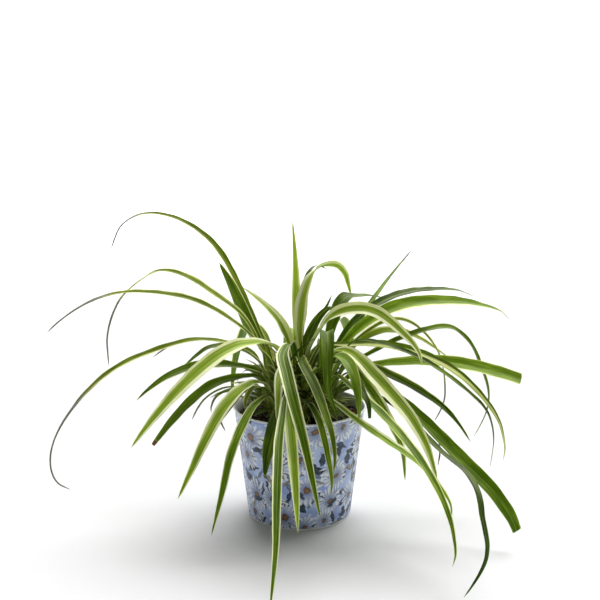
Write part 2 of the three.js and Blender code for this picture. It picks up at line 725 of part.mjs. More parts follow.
// The leaves start on their drawn lines, and are then bent a little until none of them
// touches another. The push at a station eases out along the leaf, so that it stays smooth.
function settle(leaves) {
  const need = leafThickness + leafGap;
  for (let round = 0; round < settleRounds; round += 1) {
    for (const one of leaves) {
      frameLeaf(one);
      sampleLeaf(one);
      one.pushes = one.stations.map(() => new Push());
    }
    let worst = 0;
    for (let i = 0; i < leaves.length; i += 1) {
      for (let j = i + 1; j < leaves.length; j += 1) {
        if (leaves[i].box.intersectsBox(leaves[j].box)) {
          worst = Math.max(worst, partPair(leaves[i], leaves[j], need));
        }
      }
      keepOffPot(leaves[i]);
    }
    if (worst < leafGap / 4 && round > settleRounds / 2) {
      break;
    }
    const easing = settleEasing * (1 - round / settleRounds);
    for (const one of leaves) {
      const means = one.pushes.map((push) => push.mean());
      const shifts = one.shifts.map((shift, i) => shift.clone().addScaledVector(means[i], ownPushShare)
        .addScaledVector(means[Math.max(i - 1, 0)], neighbourPushShare)
        .addScaledVector(means[Math.min(i + 1, one.count)], neighbourPushShare));
      for (let i = 1; i <= one.count; i += 1) {
        const next = shifts[Math.min(i + 1, one.count)];
        const bend = shifts[i - 1].clone().add(next).addScaledVector(shifts[i], -2);
        one.shifts[i] = shifts[i].addScaledVector(bend, easing);
      }
      one.shifts[0].set(0, 0, 0);
    }
  }
  leaves.forEach(frameLeaf);
}

// A blade is a row of rings of six points: right edge, midrib and left edge of the upper face,
// then the same three of the lower face in the other order. The first ring lies round the
// crown, level with the root.
function leafGeometry(one) {
  const positions = [];
  const triangles = [];
  const crown = crowns[one.crown];
  const columns = [-1, 0, 1];
  one.rings.forEach((ring, i) => {
    for (const face of [1, -1]) {
      for (const share of face > 0 ? columns : [...columns].reverse()) {
        let point = ringPoint(ring, share).addScaledVector(ring.upper, (face * leafThickness) / 2);
        if (i === 0) {
          const inner = crownRadiusAt(crown, one.rootAngle, one.rootHeight) + rootGap;
          const radius = face > 0 ? inner : inner + leafThickness;
          const angle = one.rootAngle + (one.rootHalf * share) / inner;
          point = new THREE.Vector3(crown.x + radius * Math.cos(angle),
            crown.y + radius * Math.sin(angle), one.rootHeight);
        }
        positions.push(point.x, point.y, point.z);
      }
    }
  });
  const size = 6;
  const quad = (a, b, c, d) => triangles.push(a, b, c, a, c, d);
  for (let i = 0; i < one.count; i += 1) {
    const low = i * size;
    const high = low + size;
    // upper face, then its like on the lower face split along the same corners
    quad(low, high, high + 1, low + 1);
    quad(low + 1, high + 1, high + 2, low + 2);
    quad(high + 4, high + 5, low + 5, low + 4);
    quad(high + 3, high + 4, low + 4, low + 3);
    // left edge and right edge
    quad(low + 2, high + 2, high + 3, low + 3);
    quad(low + 5, high + 5, high, low);
  }
  const cap = (first, turn) => {
    const corners = [[0, 1, 4], [0, 4, 5], [1, 2, 3], [1, 3, 4]];
    for (const [a, b, c] of corners) {
      triangles.push(first + a, first + (turn ? c : b), first + (turn ? b : c));
    }
  };
  cap(0, false);
  cap(one.count * size, true);
  return closedGeometry(positions, triangles);
}

const plant = new THREE.Group();
addMesh(plant, 'pot', potGeometry(), material('pot', 0.35));
addMesh(plant, 'soil', soilGeometry(), material('soil', 0.95));
for (const [key, crown] of Object.entries(crowns)) {
  addMesh(plant, `crown_${key}`, crownGeometry(crown), material('crown', 0.6));
}
for (const one of leafTable) {
  one.angle = THREE.MathUtils.degToRad(one.azimuth);
}
placeRoots(leafTable);
leafTable.forEach(placeStations);
settle(leafTable);
for (const one of leafTable) {
  addMesh(plant, `leaf_${one.name}`, leafGeometry(one), material(one.colour, 0.5));
}

export default plant;
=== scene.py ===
"""Looks for the potted spider plant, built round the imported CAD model, in metres, front along -Y.

Each leaf is lofted again from its CAD solid and gets margins, veins, a pale base and a dried tip.
Crowns become leaf sheaths with young leaves round them, the pot a smooth printed shell and the
soil a coarse, crumbly surface.
"""
import itertools
import math
import random
from functools import partial, partialmethod

import bpy
import numpy as np
from mathutils.kdtree import KDTree
from numpy.linalg import norm
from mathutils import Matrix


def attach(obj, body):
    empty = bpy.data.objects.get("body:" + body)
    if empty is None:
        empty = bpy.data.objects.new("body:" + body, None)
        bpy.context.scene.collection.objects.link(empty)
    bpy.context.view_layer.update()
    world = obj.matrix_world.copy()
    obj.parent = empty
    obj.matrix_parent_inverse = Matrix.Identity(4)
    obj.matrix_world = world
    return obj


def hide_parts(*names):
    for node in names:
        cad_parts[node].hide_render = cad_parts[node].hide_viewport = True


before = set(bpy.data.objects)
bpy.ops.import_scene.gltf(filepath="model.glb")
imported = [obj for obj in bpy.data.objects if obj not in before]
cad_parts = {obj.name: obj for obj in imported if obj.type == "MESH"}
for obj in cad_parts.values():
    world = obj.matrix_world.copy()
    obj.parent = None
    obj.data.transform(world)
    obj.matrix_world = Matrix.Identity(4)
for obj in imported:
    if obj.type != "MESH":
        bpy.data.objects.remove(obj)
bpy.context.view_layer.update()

MM = 0.001
TURN = 2 * math.pi
WHITE = (1, 1, 1, 1)
scene = bpy.context.scene

# camera and light, with angles in degrees
CAMERA_PLACE = (0.0005, -0.942, 0.3984)
CAMERA_PITCH = 11.07
WORLD_STRENGTH = 0.145
KEY_ENERGY = 5.6
KEY_SPREAD = 62
KEY_TURN = (-31, 16, 0)
camera_data = bpy.data.cameras.new("camera")
camera_data.lens = 60
camera_data.sensor_width = 36
camera_data.sensor_fit = "HORIZONTAL"
camera_data.clip_start = 0.05
camera_data.clip_end = 60
camera = bpy.data.objects.new("camera", camera_data)
camera.location = CAMERA_PLACE
camera.rotation_euler = (math.radians(90 - CAMERA_PITCH), 0, 0)
scene.collection.objects.link(camera)
scene.camera = camera
scene.view_settings.view_transform = "Standard"

world = bpy.data.worlds.new("studio")
world.use_nodes = True
background = world.node_tree.nodes["Background"].inputs
background["Color"].default_value = WHITE
background["Strength"].default_value = WORLD_STRENGTH
scene.world = world

key_data = bpy.data.lights.new("key", "SUN")
key_data.energy = KEY_ENERGY
key_data.angle = math.radians(KEY_SPREAD)
key = bpy.data.objects.new("key", key_data)
key.rotation_euler = [math.radians(turn) for turn in KEY_TURN]
scene.collection.objects.link(key)


# node helper
def rgb(code):
    """A linear colour for a colour written as rrggbb."""
    parts = [int(code[i:i + 2], 16) / 255 for i in (0, 2, 4)]
    return tuple(v / 12.92 if v <= 0.04045 else ((v + 0.055) / 1.055) ** 2.4 for v in parts) + (1,)


class Nodes:
    """Short calls that add and link nodes in one tree.

    A value goes into a socket as a link if it is a socket itself, as a colour if it is a code
    such as "f9fbd0", and as a constant if not.
    """

    def __init__(self, tree):
        self.tree = tree

    def put(self, socket, value):
        if isinstance(value, bpy.types.NodeSocket):
            self.tree.links.new(value, socket)
        else:
            socket.default_value = rgb(value) if isinstance(value, str) else value

    def add(self, kind, sockets=None, **settings):
        node = self.tree.nodes.new(kind)
        for key, value in settings.items():
            setattr(node, key, value)
        self.fill(node, sockets or {})
        return node

    def fill(self, node, sockets):
        for key, value in sockets.items():
            self.put(node.inputs[key], value)

    def math(self, operation, a, b=0.0):
        return self.add("ShaderNodeMath", {0: a, 1: b}, operation=operation).outputs[0]

    plus = partialmethod(math, "ADD")
    minus = partialmethod(math, "SUBTRACT")
    times = partialmethod(math, "MULTIPLY")
    most = partialmethod(math, "MAXIMUM")

    def mix(self, factor, a, b):
        """A colour from a to b; a mix node's colours are its sockets 6 and 7, and its output 2."""
        return self.add("ShaderNodeMix", {0: factor, 6: a, 7: b}, data_type="RGBA").outputs[2]

    def attribute(self, name):
        return self.add("ShaderNodeAttribute", attribute_name=name).outputs["Fac"]

    def join(self, x, y=0.0, z=0.0):
        return self.add("ShaderNodeCombineXYZ", {0: x, 1: y, 2: z}).outputs[0]

    def split(self, vector):
        return self.add("ShaderNodeSeparateXYZ", {0: vector}).outputs

    def vector(self, operation, *inputs):
        sockets = dict(enumerate(inputs))
        return self.add("ShaderNodeVectorMath", sockets, operation=operation).outputs[0]

    def noise(self, vector, scale=1.0, detail=2.0, roughness=0.5):
        return self.add("ShaderNodeTexNoise", {
            "Vector": vector, "Scale": scale, "Detail": detail, "Roughness": roughness}).outputs[0]

    def step(self, value, low, high, bottom=0.0, top=1.0):
        """A soft step from bottom to top while value goes from low to high."""
        return self.add("ShaderNodeMapRange", {
            "Value": value, "From Min": low, "From Max": high, "To Min": bottom, "To Max": top},
            interpolation_type="SMOOTHSTEP").outputs[0]

    def bump(self, height, distance, strength):
        return self.add("ShaderNodeBump", {
            "Height": height, "Distance": distance, "Strength": strength}).outputs[0]


def new_material(name):
    """A material, its node helper and its shader."""
    material = bpy.data.materials.new(name)
    material.use_nodes = True
    return material, Nodes(material.node_tree), material.node_tree.nodes["Principled BSDF"]


# mesh helpers
def new_object(name, points, faces, material):
    """A smooth-shaded object in the scene."""
    mesh = bpy.data.meshes.new(name)
    mesh.from_pydata(np.asarray(points).tolist(), [], [list(map(int, f)) for f in faces])
    mesh.materials.append(material)
    mesh.polygons.foreach_set("use_smooth", [True] * len(mesh.polygons))
    thing = bpy.data.objects.new(name, mesh)
    scene.collection.objects.link(thing)
    return thing


def make_piece(name, points, faces, material, values, uv=None, sharp=50):
    """A piece on the root body, with named numbers on its points for the material."""
    piece = new_object(name, points, faces, material)
    mesh = piece.data
    for key, numbers in values.items():
        layer = mesh.attributes.new(key, "FLOAT", "POINT")
        layer.data.foreach_set("value", np.asarray(numbers, np.float32))
    if uv is not None:
        corner = np.zeros(len(mesh.loops), np.int64)
        mesh.loops.foreach_get("vertex_index", corner)
        mesh.uv_layers.new(name="UVMap").data.foreach_set(
            "uv", np.asarray(uv, np.float32)[corner].ravel())
    mesh.set_sharp_from_angle(angle=math.radians(sharp))
    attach(piece, "root")
    return piece


def grid_faces(rows, columns, closed):
    """Quads between rows of points; closed joins the last column to the first."""
    out = []
    for i in range(rows - 1):
        for j in range(columns if closed else columns - 1):
            a = i * columns + j
            b = i * columns + (j + 1) % columns
            out.append((a, b, b + columns, a + columns))
    return out


def barrel_faces(rows, columns):
    """Faces of rings of points, with a flat face over each end."""
    ends = [range(columns)[::-1], range((rows - 1) * columns, rows * columns)]
    return grid_faces(rows, columns, True) + ends


def strip_faces(rows, columns):
    """Faces of a closed strip: each ring goes along its upper side and back along its lower."""
    ring = 2 * columns
    faces = grid_faces(rows, ring, True)
    last = (rows - 1) * ring
    for j in range(columns - 1):
        corners = (j, j + 1, ring - 2 - j, ring - 1 - j)
        faces.append(corners[::-1])
        faces.append(tuple(last + i for i in corners))
    return faces


def net_points(x, y, z):
    """Points in metres of a net whose coordinates in mm vary along its rows or its columns."""
    return np.stack(np.broadcast_arrays(x, y, z), -1).reshape(-1, 3) * MM


def spline(rows, at):
    """Rows of points read at whole and part row numbers, smoothly."""
    padded = np.concatenate([2 * rows[:1] - rows[1:2], rows, 2 * rows[-1:] - rows[-2:-1]])
    low = np.clip(at.astype(int), 0, len(rows) - 2)
    f = (at - low).reshape((-1,) + (1,) * (rows.ndim - 1))
    p0, p1, p2, p3 = (padded[low + k] for k in range(4))
    return 0.5 * (2 * p1 + (p2 - p0) * f + (2 * p0 - 5 * p1 + 4 * p2 - p3) * f ** 2
                  + (3 * p1 - p0 - 3 * p2 + p3) * f ** 3)


def unit(vectors):
    """Vectors brought to length one."""
    return vectors / np.maximum(norm(vectors, axis=-1, keepdims=True), 1e-9)


def ease(t):
    """A smooth rise from 0 to 1 while t goes from 0 to 1."""
    t = np.clip(t, 0, 1)
    return t * t * (3 - 2 * t)


# leaf material
# no cream margin, and a tip that starts to dry past its end
NO_CREAM = -0.2
NOT_DRY = 1.2
# leaf numbers of a point where its part says nothing else
LEAF_NUMBERS = dict(margin_right=NO_CREAM, margin_left=NO_CREAM, centre_line=NO_CREAM,
                    dry=0, brown=0, marks=0, under=0)
# seeds drawn for the veins lie between nought and this
SEEDS = 60


def leaf_values(shape, **given):
    """The leaf numbers for each point of a net of this shape."""
    numbers = {**LEAF_NUMBERS, **given}
    return {name: np.broadcast_to(value, shape).ravel() for name, value in numbers.items()}


def leaf_material(name, deep, mid, light, cream, rib, roughness):
    """A strap leaf: fine veins along it, cream margins, pale base, dried tip.

    The mesh carries share, -1 to 1 across the blade, reach, metres along it, half, half its width
    in mm, and the other leaf numbers.
    """
    material, n, shader = new_material(name)
    share = n.attribute("share")
    seed = n.attribute("seed")
    across = n.times(share, n.attribute("half"))
    length = n.times(n.attribute("reach"), 1000)

    def streaks(cross, lengthwise, scale=1.0, detail=2.0, roughness=0.5, shift=0.0):
        """Noise with its own number of cells a mm across and along the blade."""
        place = n.join(n.times(across, cross), n.times(length, lengthwise), n.plus(seed, shift))
        return n.noise(place, scale, detail, roughness)

    # greens: veins, broad lighter bands, the leaf's own tone and the crease over the midrib
    fine = streaks(2.3, 0.02, detail=3.0, roughness=0.6)
    mottle = streaks(1.0, 0.5, scale=0.6, detail=4.0, roughness=0.6)
    green = n.mix(n.step(fine, 0.3, 0.62), deep, mid)
    green = n.mix(n.step(streaks(0.35, 0.03), 0.42, 0.75, 0, 0.75), green, light)
    tone = n.attribute("tone")
    green = n.mix(n.most(tone, 0.0), green, light)
    green = n.mix(n.most(n.times(tone, -1.0), 0.0), green, deep)
    middle = n.math("ABSOLUTE", share)
    crease = n.step(middle, 0.10, 0.02, 0, rib)
    green = n.mix(crease, green, light)

    # cream margins that wander, with thin cream lines just inside them
    wander = n.noise(n.join(0.3, n.times(length, 0.035), seed), 1.0, 2.0)
    wander = n.times(n.minus(wander, 0.5), 0.16)
    shaken = n.plus(wander, n.times(n.minus(fine, 0.5), 0.14))
    right = n.plus(n.plus(share, 1.0), shaken)
    left = n.plus(n.minus(1.0, share), shaken)
    margin_right = n.minus(n.attribute("margin_right"), right)
    margin_left = n.minus(n.attribute("margin_left"), left)
    centre = n.minus(n.attribute("centre_line"), n.plus(middle, shaken))
    margin = n.most(n.most(margin_right, margin_left), centre)
    lines = n.step(streaks(1.7, 0.006, detail=1.0, shift=9.0), 0.56, 0.64, 0, 0.55)
    lines = n.times(lines, n.step(margin, -0.42, -0.05))
    cream_mask = n.most(n.step(margin, -0.05, 0.05), lines)
    cream_tone = n.mix(n.step(fine, 0.25, 0.7, 0, 0.35), cream, light)
    colour = n.mix(cream_mask, green, cream_tone)

    # dull underside, pale base, brown specks
    colour = n.mix(n.times(n.attribute("under"), 0.22), colour, "7c9444")
    colour = n.mix(n.times(n.attribute("pale"), 0.55), colour,
                   n.mix(n.step(fine, 0.3, 0.7), "7c9224", "c4cf66"))
    specks = n.step(streaks(1.1, 0.55, roughness=0.7, shift=4.0), 0.70, 0.76)
    colour = n.mix(n.times(specks, n.attribute("marks")), colour, "6b4a2a")

    # the tip first turns yellow and then dries to a grey or brown husk
    dry = n.attribute("dry")
    ragged = n.times(n.minus(mottle, 0.5), 0.5)
    dry_mask = n.step(n.plus(dry, ragged), 0.3, 0.62)
    husk = n.mix(n.step(fine, 0.3, 0.7), "66655b", "939288")
    husk = n.mix(n.attribute("brown"), husk, "6a3f1c")
    colour = n.mix(n.step(dry, 0.02, 0.4, 0, 0.6), colour, "9aa04a")
    colour = n.mix(dry_mask, colour, husk)

    gloss = n.plus(roughness - 0.08, n.times(mottle, 0.16))
    height = n.plus(n.times(fine, 0.8), n.times(mottle, 0.3))
    height = n.minus(height, n.times(crease, 0.35))
    # light goes through a thin blade, which subsurface scattering stands for
    n.fill(shader, {
        "Base Color": colour,
        "Roughness": n.most(gloss, n.times(dry_mask, 0.75)),
        "Normal": n.bump(height, 0.25 * MM, 0.6),
        "Specular IOR Level": 0.2,
        "Specular Tint": (0.9, 1.0, 0.4, 1),
        "Subsurface Weight": 0.35,
        "Subsurface Radius": (0.8, 1.0, 0.25),
        "Subsurface Scale": 2 * MM,
    })
    return material


# greens from deep to light, cream, strength of the crease, roughness
LEAF_LOOKS = {
    "variegated": ("2f4a02", "62840e", "a6bb3c", "f9fbd0", 0.3, 0.48),
    "plain": ("2c4403", "5b7a0e", "98b03c", "eff2a6", 0.3, 0.46),
    "dark": ("121e02", "2c4306", "6d861f", "e2e5a0", 0.4, 0.44),
    "olive": ("3c4a06", "6a7c18", "a1ad42", "f0f4b0", 0.3, 0.50),
}
leaf_looks = {look: leaf_material("leaf_" + look, *inks) for look, inks in LEAF_LOOKS.items()}


# leaves
def entry(look, crown, **style):
    """One row of the table of leaves."""
    return look, crown, style


variegated, plain, dark, olive = (partial(entry, look) for look in LEAF_LOOKS)

# the crowns' places and the heights of their tips, in mm
CROWNS = {
    "left_rear": (-22, 9, 148), "left_front": (-20, -9, 140), "front": (2, -19, 134),
    "right_front": (20, -7, 149), "right_rear": (21, 11, 152), "back": (-2, 21, 152),
}
# Each leaf's look, crown and style. right and left are the widths of the cream margins as shares
# of half the blade, seen along the way out, and centre is half the width of a cream line on the
# midrib. dry is the share of the length where the tip starts to dry, brown turns it from grey to
# brown, marks is the strength of brown specks, tone goes from -1, deep, to 1, light, slim scales
# the width and end is the shape of the tip.
LEAVES = dict(
    left_high_arch=olive("left_rear", left=0.35, dry=0.74, tone=-0.3, slim=0.78),
    left_spear=dark("left_rear", right=0.22, tone=0.45),
    left_second_arch=olive("left_rear", right=0.2, left=0.3, dry=0.64),
    left_third_arch=olive("left_rear", right=0.15, left=0.3, dry=0.62, tone=-0.1),
    left_long_sweep=olive("left_front", left=0.55, dry=0.54, tone=-0.3, slim=0.74),
    left_pale_thin=olive("left_rear", left=0.5, dry=0.62, tone=0.3),
    left_dark_mid=dark("left_rear", tone=0.2),
    left_dark_low=dark("left_front", left=0.12, tone=0.3),
    left_big_variegated=variegated("back", right=0.3, left=0.6, tone=0.4),
    left_brown_tip=dark("left_front", dry=0.955, brown=0.9, end="blunt", tone=0.4),
    left_thin_a=dark("left_front", dry=0.8),
    left_back_small=dark("left_rear"),
    left_soil_drop=olive("left_front", right=0.3, left=0.1, tone=-0.5),
    front_left_variegated=variegated("left_front", right=0.25, left=0.5, tone=0.35),
    front_left_narrow=variegated("left_front", right=0.18, left=0.3, tone=-0.2),
    centre_spike=variegated("back", right=0.4, left=0.35, tone=0.9, slim=1.2),
    centre_pale_left=variegated("back", right=0.8, left=0.25, tone=0.4),
    centre_arch_right=variegated("back", right=0.6, left=0.4, tone=0.7, slim=1.15),
    centre_dark_behind=dark("back", dry=0.9),
    right_dark_rise=dark("back"),
    right_cream_arch=variegated("back", right=0.6, left=0.45, tone=0.5),
    right_long_variegated=dark("back", centre=0.34, right=0.25, tone=0.4),
    front_big_variegated=variegated("back", right=0.24, left=0.24, tone=-0.55),
    front_right_variegated=dark("back", right=0.12, left=0.16, dry=0.965, tone=0.3),
    right_kinked=dark("right_rear", tone=0.35),
    right_needle=plain("right_rear", dry=0.86),
    right_dark_top=dark("right_rear", tone=0.1),
    right_broad_green=plain("right_rear", right=0.25, dry=0.95, tone=0.3),
    right_low_arch=olive("right_rear", left=0.3, tone=0.5),
    right_far_kinked=dark("right_rear", tone=0.4),
    right_thin_fall=olive("right_rear", left=0.3, dry=0.74),
    right_to_edge=plain("right_rear", right=0.1, left=0.08, end="blunt", tone=0.3),
    right_dark_sweep=dark("right_rear", left=0.12, tone=0.1),
    right_thin_under=dark("right_rear"),
    right_broad_cut=plain("right_front", end="blunt", tone=-0.45),
    right_big_variegated=variegated("right_front", right=0.7, left=0.3, marks=1.0, tone=0.4),
    right_inner_variegated=variegated("right_front", right=0.16, left=0.4, tone=0.1),
    right_front_plain=plain("right_front", left=0.08, tone=0.1),
    right_front_drop=plain("right_front", tone=-0.5),
    right_low_long=plain("right_front", right=0.15, left=0.2, tone=-0.2),
    right_dark_under=dark("right_front", dry=0.9, brown=0.5),
    right_curl=dark("right_front", tone=-0.5),
    right_dark_stub=dark("right_front", end="blunt", tone=-0.5),
    front_long_drop=variegated("front", right=0.24, left=0.24, tone=-0.6),
    front_dark_short=dark("front", dry=0.965, brown=0.4, tone=0.1),
    front_pale_short=variegated("left_front", right=0.4, left=0.45, tone=0.5),
    front_low_straight=variegated("front", right=0.12, left=0.4, tone=0.1),
    front_right_inner=variegated("front", right=0.2, left=0.2, tone=-0.3),
    front_centre_light=variegated("front", right=0.3, left=0.3, tone=0.35),
    back_left_fall=plain("left_rear", right=0.12, left=0.12, tone=-0.6),
    back_middle_fall=plain("back", right=0.1),
    back_right_fall=plain("right_rear", right=0.1, left=0.15, tone=-0.4),
)

# where a blade's section is drawn, as shares of half its width, then steps along it
COLUMNS = np.array([-1, -0.93, -0.75, -0.5, -0.24, 0, 0.24, 0.5, 0.75, 0.93, 1])
STEPS_A_STRETCH = 4
TIP_STEPS = 12
BLADE_THICKNESS = 0.5 * MM
# below the first half width a blade is thinner, and below the second its waves are lower
THIN_BELOW = 4 * MM
CALM_BELOW = 5 * MM
# a pointed tip narrows over this length, from a half width that is never less than this
POINT_LENGTH = 6 * MM
GREEN_THREAD = 0.4 * MM
# a tip that starts to dry before this share of the length rolls up into a thread with this half
# width, this thickness and this taper
ROLLS_UP = 0.95
DRY_THREAD = 0.8 * MM
DRY_THICKNESS = 1.4 * MM
DRY_TAPER = 8 * MM
# waves along both edges: height, shortest and longest pitch in mm
WAVE_HEIGHT = 0.28 * MM
WAVE_PITCH = (19, 31)
# the base is pale over this length
PALE_LENGTH = 34 * MM
# how far in and how far down, in mm, a blade is led on from the root of its solid
ROOT_LEAD = ((3.2, 11), (1.6, 5))

# a leaf's solid has six points a ring, and its root ring is level and near the crown
RING = 6
ORDERS = np.array(list(itertools.permutations(range(RING))))
CORNER_GAP = 0.03 * MM
LEVEL_GAP = 0.005 * MM
ROOT_REACH = 12 * MM


def corner_links(mesh):
    """The places of a mesh's points and each point's neighbours, points at one place being one."""
    places = np.array([v.co for v in mesh.vertices])
    same = np.square(places[:, None] - places[None]).sum(-1) < CORNER_GAP ** 2
    first = same.argmax(1)
    links = {int(i): set() for i in np.unique(first)}
    for face in mesh.polygons:
        corners = [int(first[i]) for i in face.vertices]
        for i in corners:
            links[i].update(j for j in corners if j != i)
    return places, links


def root_ring(places, links, axis):
    """The first ring of a leaf's solid, which is level and lies near its crown."""
    away = {i: float(norm(places[i, :2] - axis)) for i in links}
    for start in sorted(links, key=away.get):
        level = abs(places[:, 2] - places[start, 2]) < LEVEL_GAP
        root = [i for i in links if level[i] and away[i] < ROOT_REACH]
        if len(root) == RING:
            break
    root.sort(key=away.get)
    middle = places[root].mean(0)[:2] - axis
    side = np.array([-middle[1], middle[0]])

    def leftward(i):
        """How far left a point lies, seen along the way out."""
        return float((places[i, :2] - axis) @ side)

    return sorted(root[:3], key=leftward) + sorted(root[3:], key=leftward, reverse=True)


def solid_rings(node, crown):
    """The rings of six points that a leaf's CAD solid is made of, from its root to its tip.

    In each ring: right edge, midrib and left edge of the upper face, then left, midrib and right
    of the lower face. A ring's points are matched with the ring before by links and distance.
    """
    places, links = corner_links(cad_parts[node].data)
    rings = [root_ring(places, links, np.array(crown[:2]) * MM)]
    seen = set(rings[0])
    while True:
        ahead = sorted({j for i in rings[-1] for j in links[i]} - seen)
        if len(ahead) != RING:
            break
        cost = norm(places[rings[-1]][:, None] - places[ahead][None], axis=-1)
        cost += np.array([[0.0 if b in links[a] else 1.0 for b in ahead] for a in rings[-1]])
        best = ORDERS[cost[np.arange(RING), ORDERS].sum(1).argmin()]
        rings.append([ahead[k] for k in best])
        seen.update(ahead)
    return places[np.array(rings)]


def leaf_rows(node, crown):
    """(midrib, right edge, left edge) at each ring of a leaf's solid, led back into its crown."""
    rings = solid_rings(node, crown)
    pairs = ((1, 4), (0, 5), (2, 3))
    rows = np.stack([(rings[:, upper] + rings[:, lower]) / 2 for upper, lower in pairs], 1)
    out = rows[0, 0] * (1, 1, 0) - np.array([crown[0], crown[1], 0]) * MM
    down = np.array([0, 0, -1])
    lead = [rows[0] + (down * depth - unit(out) * inward) * MM for inward, depth in ROOT_LEAD]
    return np.concatenate([lead, rows])


def spots_along(rows, step):
    """Points along the midrib and the edges of a leaf, step rows apart."""
    return spline(rows, np.arange(0, len(rows) - 1, step)).reshape(-1, 3)


def tip_shape(to_end, half, dry, end, slim):
    """The share of its solid's width that a blade has, from how far its end is."""
    if end == "point":
        narrow = np.clip(to_end / POINT_LENGTH, 0, 1) ** 0.6
        thread = DRY_THREAD if dry < ROLLS_UP else GREEN_THREAD
        narrow = np.maximum(narrow, 0.3) * np.maximum(1, thread / half)
    else:
        rounding = np.clip(to_end / (0.2 * half[-1]), 0, 1)
        narrow = np.sqrt(np.clip(1 - (1 - rounding) ** 2, 0, 1))
    return np.maximum(narrow, 0.08) * slim


def blade_thickness(to_end, half, s, dry):
    """Thickness along a blade: less where it is narrow, more where the dried tip rolls up."""
    thickness = BLADE_THICKNESS * (0.75 + 0.25 * np.clip(half / THIN_BELOW, 0, 1))
    if dry < ROLLS_UP:
        curled = ease((s - dry) / (1 - dry) * 2.5)
        thickness = thickness + curled * (DRY_THICKNESS - thickness)
        thickness = thickness * (0.3 + 0.7 * np.clip(to_end / DRY_TAPER, 0, 1))
    return thickness


def edge_wave(reach, half, s, rng):
    """A gentle wave along one edge, which starts clear of the crown and fades where it is narrow."""
    phase, pitch = rng.uniform(0, TURN), rng.uniform(*WAVE_PITCH) * MM
    wave = WAVE_HEIGHT * np.sin(TURN * reach / pitch + phase) * ease(s * 4)
    return wave * np.clip(half / CALM_BELOW, 0, 1)


def blade_mesh(name, rows, right=NO_CREAM, left=NO_CREAM, centre=NO_CREAM, dry=NOT_DRY, tone=0.0,
               brown=0.0, marks=0.0, end="point", slim=1.0, base_rows=2):
    """A thin blade lofted through rows of (midrib, right edge, left edge).

    The first base_rows rows are hidden in the crown, and the name seeds the blade's own chances.
    """
    rng = random.Random(name)
    tail = 1 - (1 - np.linspace(0, 1, TIP_STEPS + 1)) ** 2
    at = np.append(np.arange(0, len(rows) - 2, 1 / STEPS_A_STRETCH), len(rows) - 2 + tail)
    mid, right_edge, left_edge = np.moveaxis(spline(rows, at), 1, 0)
    reach = np.append(0, np.cumsum(norm(np.diff(mid, axis=0), axis=1)))
    hidden = reach[base_rows * STEPS_A_STRETCH]
    to_end = reach[-1] - reach
    s = np.clip((reach - hidden) / (reach[-1] - hidden), 0, 1)
    upper = unit(np.cross(unit(np.gradient(mid, axis=0)), unit(left_edge - right_edge)))
    half = norm(left_edge - right_edge, axis=1) / 2
    narrow = tip_shape(to_end, half, dry, end, slim)
    thickness = blade_thickness(to_end, half, s, dry)
    waves = [edge_wave(reach, half, s, rng) for _ in range(2)]
    up, low = [], []
    for column in COLUMNS:
        c = abs(column)
        edge, wave = (left_edge, waves[1]) if column > 0 else (right_edge, waves[0])
        side = (edge - mid) * narrow[:, None]
        lift = (side * upper).sum(1) * (c ** 1.4 - c) + wave * c ** 2
        place = mid + side * c + upper * lift[:, None]
        thick = upper * (thickness / 2 * (1 - 0.4 * c ** 3))[:, None]
        up.append(place + thick)
        low.append(place - thick)
    points = np.stack(up + low[::-1], 1)
    fade = 0.6 + 0.4 * ease(s * 6)
    values = leaf_values(
        points.shape[:2],
        share=np.append(COLUMNS, COLUMNS[::-1]),
        under=np.repeat([0.0, 1.0], len(COLUMNS)),
        reach=reach[:, None], half=(half * narrow / MM)[:, None],
        seed=rng.uniform(0, SEEDS), tone=tone + rng.uniform(-0.06, 0.06),
        margin_right=(right * fade)[:, None] if right > 0 else right,
        margin_left=(left * fade)[:, None] if left > 0 else left,
        centre_line=centre, brown=brown, marks=marks,
        dry=np.clip((s - dry) / max(1 - dry, 0.02) * 1.6, 0, 1)[:, None],
        pale=1 - ease((reach - hidden) / PALE_LENGTH)[:, None])
    faces = [face[::-1] for face in strip_faces(len(mid), len(COLUMNS))]
    return points.reshape(-1, 3), faces, values


def leaf_piece(name, look, parts):
    """One piece in a leaf look, joined from parts with points, faces and values."""
    first = np.cumsum([0] + [len(points) for points, _, _ in parts])
    points = np.concatenate([part[0] for part in parts])
    faces = [[first[k] + i for i in face] for k, part in enumerate(parts) for face in part[1]]
    values = {key: np.concatenate([part[2][key] for part in parts]) for key in parts[0][2]}
    return make_piece(name, points, faces, leaf_looks[look], values)


taken = []
for leaf, (look, crown, style) in LEAVES.items():
    node = "leaf_" + leaf
    rows = leaf_rows(node, CROWNS[crown])
    piece = leaf_piece("blade_" + leaf, look, [blade_mesh(leaf, rows, **style)])
    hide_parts(node)
    taken.append(spots_along(rows, 0.25))


# crowns, in mm and radians: a core and sheaths in a spiral, of which the lowest have dry ends
SOIL_TOP = 98
CROWN_RADIUS = 8.2
CROWN_TIP = 2.4
CROWN_DEPTH = 9
CORE_SIDES = 40
CORE_LEVELS = 15
SHEATHS = 10
DRY_SHEATHS = 3
SHEATH_ROWS = 16
SHEATH_COLUMNS = 9
SHEATH_TURN = 2.4
SHEATH_THICKNESS = 0.6


def crown_radius(height, top):
    """Radius of a crown's outside at a height."""
    rise = np.maximum(height - SOIL_TOP, 0) / (top - SOIL_TOP)
    return CROWN_TIP + (CROWN_RADIUS - CROWN_TIP) * np.sqrt(np.maximum(1 - rise, 0))


